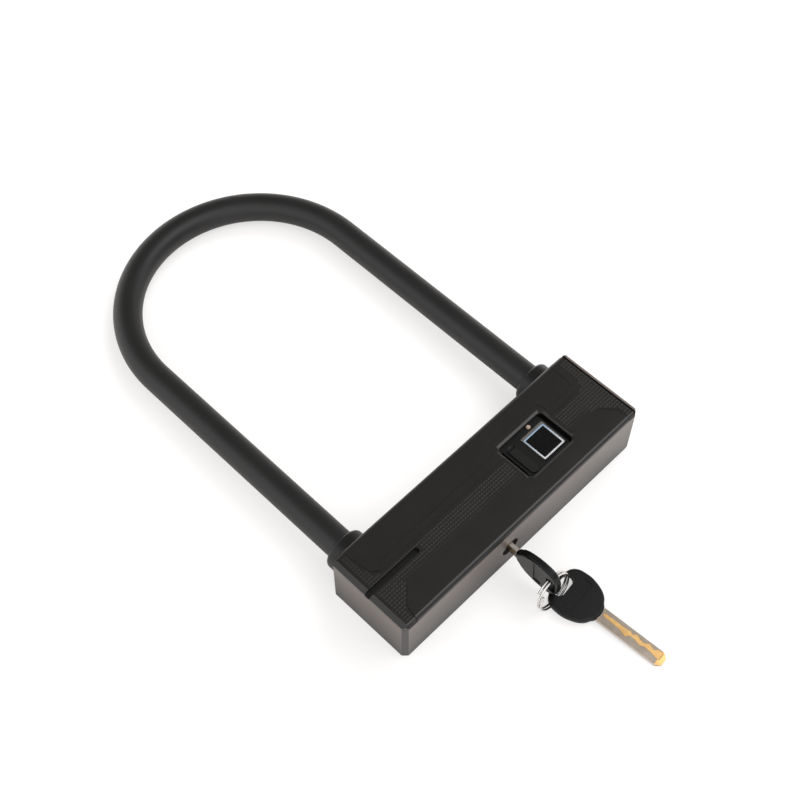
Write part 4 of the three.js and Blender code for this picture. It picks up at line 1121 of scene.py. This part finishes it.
def srgb(red, green, blue):
    """A colour as a picture stores it, 0 to 255, made linear."""
    def linear(value):
        share = value / 255
        return share / 12.92 if share <= 0.04045 else ((share + 0.055) / 1.055) ** 2.4
    return (linear(red), linear(green), linear(blue), 1)


# %% [markdown]
# Nearly every finish is one Principled shader with a few of its sockets fed. The sockets could be named
# anew each time, but a second class keeps that short, and gathers the finishes for handing out later.

# %% A surface with the usual sockets
finishes = {}


class Surface(Paint):
    """A material with one Principled shader."""

    def __init__(self, slot):
        super().__init__(bpy.data.materials.new(slot))
        self.shader = self.tree.nodes["Principled BSDF"]
        finishes[slot] = self.owner

    def feed(self, **sockets):
        for name, value in sockets.items():
            self.fill(self.shader.inputs[name.replace("_", " ")], value)

    def bump(self, height, depth, strength=0.6):
        self.feed(Normal=self.node("Bump", {}, {"Height": height, "Distance": depth, "Strength": strength}))


# %% [markdown]
# ## Painted and moulded finishes
# The body's paint shows fine brush lines along its long edges, and the plastics have a spark eroded
# grain. Both come from noise: stretched far along the walls it makes the brush lines, and left round and
# small it makes the grain. Image textures would need files that this script must not read.

# %% Case paint
body_level = 0.47


def brushed_and_shaded(paint):
    """The case paint's colour, roughness and brush lines, with painted shade: darker at the foot and at the
    broken corners.
    """
    lines = paint.noise(1, (0.02, 0.02, 3.2), 4)
    drift = paint.noise(40, detail=1)
    height = paint.node("SeparateXYZ", {}, {0: paint.place()}, "Z")
    # The rise with height paints the walls darker at the foot and lighter at the top, a painted shade.
    tone = (lines - 0.5) * 0.5 + (drift - 0.5) * 0.2 + paint.ramp(height, 0, 35)
    corner = paint.node("Attribute", {"attribute_name": "corner"}, {}, "Fac")
    # Taking the corner mark off the tone paints the broken corners darker, a painted shade.
    colour = paint.mix(srgb(20, 18, 17), srgb(84, 76, 72), tone - corner)
    return colour, 0.3 + lines * 0.2, lines


def paint_case():
    paint = Surface("case_paint")
    colour, roughness, lines = brushed_and_shaded(paint)
    paint.feed(Base_Color=colour, Roughness=roughness, Specular_IOR_Level=body_level)
    paint.bump(lines, 0.02 * MM, 0.4)


def paint_cover():
    """Plastic with a fine eroded grain. Its upright walls carry the case paint."""
    paint = Surface("cover_plastic")
    wall = paint.node("Attribute", {"attribute_name": "wall"}, {}, "Fac")
    painted, painted_roughness, lines = brushed_and_shaded(paint)
    grain = paint.noise(0.3, detail=3)
    drift = paint.noise(25, detail=2)
    tone = paint.ramp(drift * 0.4 + grain * 0.6, 0.35, 0.65)
    plastic = paint.mix(srgb(7, 5, 5), srgb(18, 15, 13), tone)
    roughness = 0.26 + grain * 0.14
    paint.feed(Base_Color=paint.mix(plastic, painted, wall), Specular_IOR_Level=body_level)
    paint.feed(Roughness=roughness + (painted_roughness - roughness) * wall)
    paint.bump(grain * (1 - wall) + lines * wall, 0.02 * MM, 0.4)


paint_case()
paint_cover()


# %% [markdown]
# Collars, bows, flap, sleeve and key plug have a like skin, and differ in colour, in gloss and in the
# size of their grain. Five materials could be wired by hand, but one function with those values says
# what they share.

# %% Moulded plastics
def paint_moulded(slot, dark, light, roughness, grain, depth, level=0.5):
    """Plastic with an eroded grain. The grain's size and depth are in millimetres."""
    paint = Surface(slot)
    fine = paint.noise(grain, detail=3)
    drift = paint.noise(25, detail=2)
    rubbed = paint.ramp(paint.noise(6, (0.4, 1, 1), 4), 0.62, 0.8)
    paint.feed(Base_Color=paint.mix(dark, light, paint.ramp(drift * 0.5 + fine * 0.5, 0.35, 0.65)))
    paint.feed(Roughness=roughness + (fine - 0.5) * 0.2 - rubbed * 0.05)
    paint.feed(Specular_IOR_Level=level)
    paint.bump(fine, depth * MM, 0.5)


paint_moulded("black_plastic", srgb(4, 4, 4), srgb(9, 8, 8), 0.38, 0.4, 0.02, 0.32)
paint_moulded("bow_plastic", srgb(4, 4, 4), srgb(10, 10, 10), 0.34, 0.3, 0.02, 0.2)
paint_moulded("rubber", srgb(7, 7, 7), srgb(13, 13, 12), 0.5, 0.6, 0.03, 0.28)
paint_moulded("sleeve_rubber", srgb(8, 8, 8), srgb(16, 15, 15), 0.44, 0.5, 0.03, 0.38)
paint_moulded("plug_metal", srgb(16, 15, 15), srgb(28, 26, 25), 0.4, 0.25, 0.02, 0.5)
print("plastics:", sorted(finishes))

# %% [markdown]
# ## Reader and light
# The ring round the reader is white plastic that turns a little blue towards the shackle, and the pane
# is dark glass with faint finger marks. A plain white would look like paper, so the colour follows the
# place along Y, and the marks only change how sharp the pane's reflection is.

# %% Light ring, pane and lens
def paint_light_ring():
    paint = Surface("light_plastic")
    along = paint.node("SeparateXYZ", {}, {0: paint.place()}, "Y")
    far = paint.ramp(along, -9, 5)
    speck = paint.noise(1.5)
    colour = paint.mix(srgb(176, 178, 181), srgb(106, 130, 152), far * 0.85 + speck * 0.1)
    paint.feed(Base_Color=colour, Emission_Color=colour, Emission_Strength=0.05)
    paint.feed(Roughness=0.28 + speck * 0.1)


def paint_pane():
    paint = Surface("sensor_glass")
    marks = paint.ramp(paint.noise(2.2, (1, 0.6, 1), 5), 0.5, 0.75)
    paint.feed(Base_Color=paint.mix(srgb(4, 4, 4), srgb(9, 9, 9), marks))
    paint.feed(Roughness=0.14 + marks * 0.12, Specular_IOR_Level=0.22)


def paint_lens():
    paint = Surface("lens_plastic")
    middle_place = [value / MM for value in (lens_low + lens_high) / 2]
    offset = paint.node("VectorMath", {"operation": "SUBTRACT"}, {0: paint.place(), 1: middle_place})
    flat = paint.node("VectorMath", {"operation": "MULTIPLY"}, {0: offset, 1: (1, 1, 0)})
    reach = paint.node("VectorMath", {"operation": "LENGTH"}, {0: flat}, "Value")
    rim = paint.ramp(reach + paint.noise(0.8) * 0.4, 0.9, 1.5)
    colour = paint.mix(srgb(152, 135, 121), srgb(108, 92, 80), rim)
    paint.feed(Base_Color=colour, Emission_Color=colour, Emission_Strength=0.03)
    paint.feed(Roughness=0.25 + rim * 0.15, Coat_Weight=0.4)


paint_light_ring()
paint_pane()
paint_lens()

# %% [markdown]
# ## Bare metals
# Nickel, steel, brass and chrome differ in colour and in how they were worked. Turned and milled parts
# keep short tool lines, plate is speckled by its bath. A metal shows mostly what it mirrors, so its
# roughness matters more than its colour, and both follow the same lines. A key's narrow edges are painted
# lighter, a painted highlight, and its cuts go down to the brass, so both are read from marks on the faces.

# %% Worked metals
def paint_metal(slot, dark, light, roughness, stretch, depth=0.01):
    paint = Surface(slot)
    lines = paint.noise(1, stretch, 3)
    cloud = paint.noise(7, detail=3)
    paint.feed(Base_Color=paint.mix(dark, light, paint.ramp(lines * 0.6 + cloud * 0.4, 0.3, 0.7)))
    paint.feed(Metallic=1.0, Roughness=roughness + (lines - 0.5) * 0.16 + (cloud - 0.5) * 0.1)
    paint.bump(lines, depth * MM, 0.4)


paint_metal("steel", srgb(150, 148, 145), srgb(186, 184, 180), 0.38, (0.3, 4, 4))
paint_metal("brass", srgb(196, 158, 92), srgb(222, 186, 118), 0.3, (3, 0.4, 3))
paint_metal("ring_chrome", srgb(188, 186, 184), srgb(212, 210, 208), 0.18, (0.8, 0.8, 0.8), 0.001)


def paint_nickel():
    """Nickel, but the milled track and the tip are cut through to the brass."""
    paint = Surface("key_nickel")
    milled = paint.node("Attribute", {"attribute_name": "milled"}, {}, "Fac")
    edge = paint.node("Attribute", {"attribute_name": "edge"}, {}, "Fac")
    lines = paint.noise(1, (2.5, 0.5, 2.5), 3)
    cloud = paint.noise(5, detail=3)
    tone = paint.ramp(lines * 0.6 + cloud * 0.4, 0.3, 0.7)
    nickel = paint.mix(srgb(122, 113, 104), srgb(150, 140, 129), tone)
    # The narrow edges are painted lighter, a painted highlight.
    nickel = paint.mix(nickel, srgb(200, 192, 184), edge)
    bared = paint.mix(srgb(168, 130, 80), srgb(200, 166, 112), tone)
    paint.feed(Base_Color=paint.mix(nickel, bared, milled))
    paint.feed(Metallic=1.0, Roughness=0.34 + (lines - 0.5) * 0.16 - milled * 0.06)
    paint.bump(lines, 0.003 * MM, 0.4)


paint_nickel()

# %% [markdown]
# ## Inside the body
# The board, the battery and the flat cable are never seen with the lock closed, but the part may be
# opened or cut. Their patterns are simple: copper lines under green mask, a printed band on the wrap and
# conductors in amber film.

# %% Board, battery and film
def paint_board():
    paint = Surface("circuit_board")
    traces = paint.node("TexBrick", {"offset": 0.5}, {
        "Vector": paint.place(), "Scale": 0.45, "Mortar Size": 0.03, "Color1": (0, 0, 0, 1),
        "Color2": (0, 0, 0, 1), "Mortar": (1, 1, 1, 1)}, "Fac")
    weave = paint.noise(0.6)
    paint.feed(Base_Color=paint.mix(srgb(28, 78, 48), srgb(70, 128, 70), traces * 0.8 + weave * 0.15))
    paint.feed(Roughness=0.35 + weave * 0.1)
    paint.bump(traces, 0.03 * MM)


def paint_battery():
    paint = Surface("battery_wrap")
    crease = paint.noise(4, (1, 0.2, 1), 4)
    paint.feed(Base_Color=paint.mix(srgb(58, 88, 136), srgb(84, 118, 168), crease))
    paint.feed(Roughness=0.3 + crease * 0.15)
    paint.bump(crease, 0.08 * MM)


def paint_film():
    paint = Surface("flex_film")
    lines = paint.node("TexWave", {"bands_direction": "Y"}, {"Vector": paint.place(), "Scale": 0.35}, 1)
    paint.feed(Base_Color=paint.mix(srgb(178, 112, 44), srgb(214, 158, 84), lines))
    paint.feed(Roughness=0.25 + lines * 0.1)
    paint.bump(lines, 0.02 * MM)


paint_board()
paint_battery()
paint_film()
print(len(finishes), "finishes")

# %% [markdown]
# Each CAD piece gets its finish by its name, and what isn't listed is steel. The new pieces carry the
# name of their finish already. Materials could be set piece by piece, but a table can be read at a
# glance.

# %% Give every piece its finish
finish_of_node = {
    "case_paint": ["case", "base_plate"],
    "cover_plastic": ["top_cover"],
    "black_plastic": ["window_tray", "collar_left", "collar_right", "battery_tray"],
    "rubber": ["cover_gasket", "charge_flap", "seal_left", "seal_right"],
    "sleeve_rubber": ["shackle_sleeve"],
    "light_plastic": ["light_ring"],
    "sensor_glass": ["sensor_glass"],
    "lens_plastic": ["status_lens"],
    "brass": ["drive_gear", "shaft_bush", "gearbox", "cylinder_housing", "slider_1", "slider_2",
              "slider_3", "slider_4"],
    "plug_metal": ["cylinder_plug"],
    "circuit_board": ["sensor_board", "main_board"],
    "battery_wrap": ["battery"],
    "flex_film": ["sensor_flex"],
    "key_nickel": ["key_1_blade", "key_2_blade"],
    "bow_plastic": ["key_1_bow", "key_2_bow"],
    "ring_chrome": ["split_ring"],
}
slot_of_node = {node: slot_name for slot_name, nodes in finish_of_node.items() for node in nodes}
for name, node in frame["nodes"].items():
    finish = finishes[slot_of_node.get(name, "steel")]
    for material_slot in node.material_slots:
        material_slot.material = finish
for piece in bpy.context.scene.objects:
    if piece.type == "MESH" and "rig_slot" in piece:
        piece.data.materials.clear()
        piece.data.materials.append(finishes[piece["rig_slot"]])
print("steel:", sorted(set(frame["nodes"]) - set(slot_of_node)))

# %% [markdown]
# ## Table and light
# The lock stands on a white table and tips on its rear edge and its bend, so the table is a plane that
# slopes a little under it. As in a product shoot it is lit until it burns out to white, so only the
# deepest shade shows, and that shade is lifted for the camera alone. The lock stays dark because it
# mirrors two dim patches of the room, one overhead and one in front. Lamps alone would light its top.

# %% Table
shade_lift = 0.55


def lay_table():
    deselect()
    bpy.ops.mesh.primitive_plane_add(size=40, location=(0, 0, 0))
    table = placed("table")
    choose_all(table)
    bpy.ops.mesh.subdivide(number_cuts=3)
    close()
    slope = Matrix.Rotation(table_tilt, 4, "X")
    lift = Matrix.Translation((0, half_width, -0.05 * MM))
    table.data.transform(lift @ slope)
    paint = Surface("table_white")
    paint.feed(Base_Color=paint.mix((0.9, 0.88, 0.87, 1), (0.92, 0.9, 0.89, 1), paint.noise(60)))
    paint.feed(Roughness=0.9, Specular_IOR_Level=0.1)
    glow = paint.node("Emission", {}, {"Color": (1, 1, 1, 1)})
    seen = paint.node("LightPath", {}, {}, "Is Camera Ray")
    shaded = Signal(paint, paint.shader.outputs[0])
    lifted = paint.node("MixShader", {}, {0: seen * shade_lift, 1: shaded, 2: glow})
    paint.fill(paint.tree.nodes["Material Output"].inputs["Surface"], lifted)
    table.data.materials.append(paint.owner)


lay_table()

# %% [markdown]
# The room is a plain bright world with two dim patches. A soft lamp stands in front, and a stronger one
# at the right shades the table but shows in no reflection. A picture of a studio would light it as well,
# but this script must not read one.

# %% World and lamps
overhead_patch = {
    "towards": (0.378, 0.378, 0.845), "edge": 0.4, "core": 0.85, "colour": (0.42, 0.405, 0.39, 1)}
front_patch = {
    "towards": (0.38, -0.86, 0.34), "edge": 0.9, "core": 0.97, "colour": (0.25, 0.25, 0.25, 1)}


lamp_target = Vector((0, 0.08, 0.02))


def make_world():
    """White to the camera. Else a bright room, dim where the lock's top and its front edge mirror it."""
    paint = Paint(bpy.data.worlds.new("studio"))
    bpy.context.scene.world = paint.owner
    rays = paint.node("LightPath", {}, {}, "Is Camera Ray")
    direction = paint.node("TexCoord", {}, {}, "Generated")
    room = (1.75, 1.74, 1.73, 1)
    for patch in (overhead_patch, front_patch):
        nearness = paint.node(
            "VectorMath", {"operation": "DOT_PRODUCT"}, {0: direction, 1: patch["towards"]}, "Value")
        room = paint.mix(room, patch["colour"], paint.ramp(nearness, patch["edge"], patch["core"]))
    seen_room = paint.mix(room, (1, 1, 1, 1), rays)
    paint.fill(paint.tree.nodes["Background"].inputs["Color"], seen_room)


def add_lamp(name, place, size, power):
    light = bpy.data.lights.new(name, "AREA")
    light.shape = "DISK"
    light.size = size
    light.energy = power
    lamp = bpy.data.objects.new(name, light)
    aim = Vector(place) - lamp_target
    lamp.matrix_world = Matrix.Translation(place) @ aim.to_track_quat("Z", "Y").to_matrix().to_4x4()
    bpy.context.scene.collection.objects.link(lamp)
    return lamp


make_world()
add_lamp("softbox", (0.5, -0.52, 1.12), 1.1, 6)
side_lamp = add_lamp("side_lamp", (1.3, 0.5, 1.4), 1.2, 20)
side_lamp.visible_glossy = False
bpy.context.scene.view_settings.view_transform = "Standard"
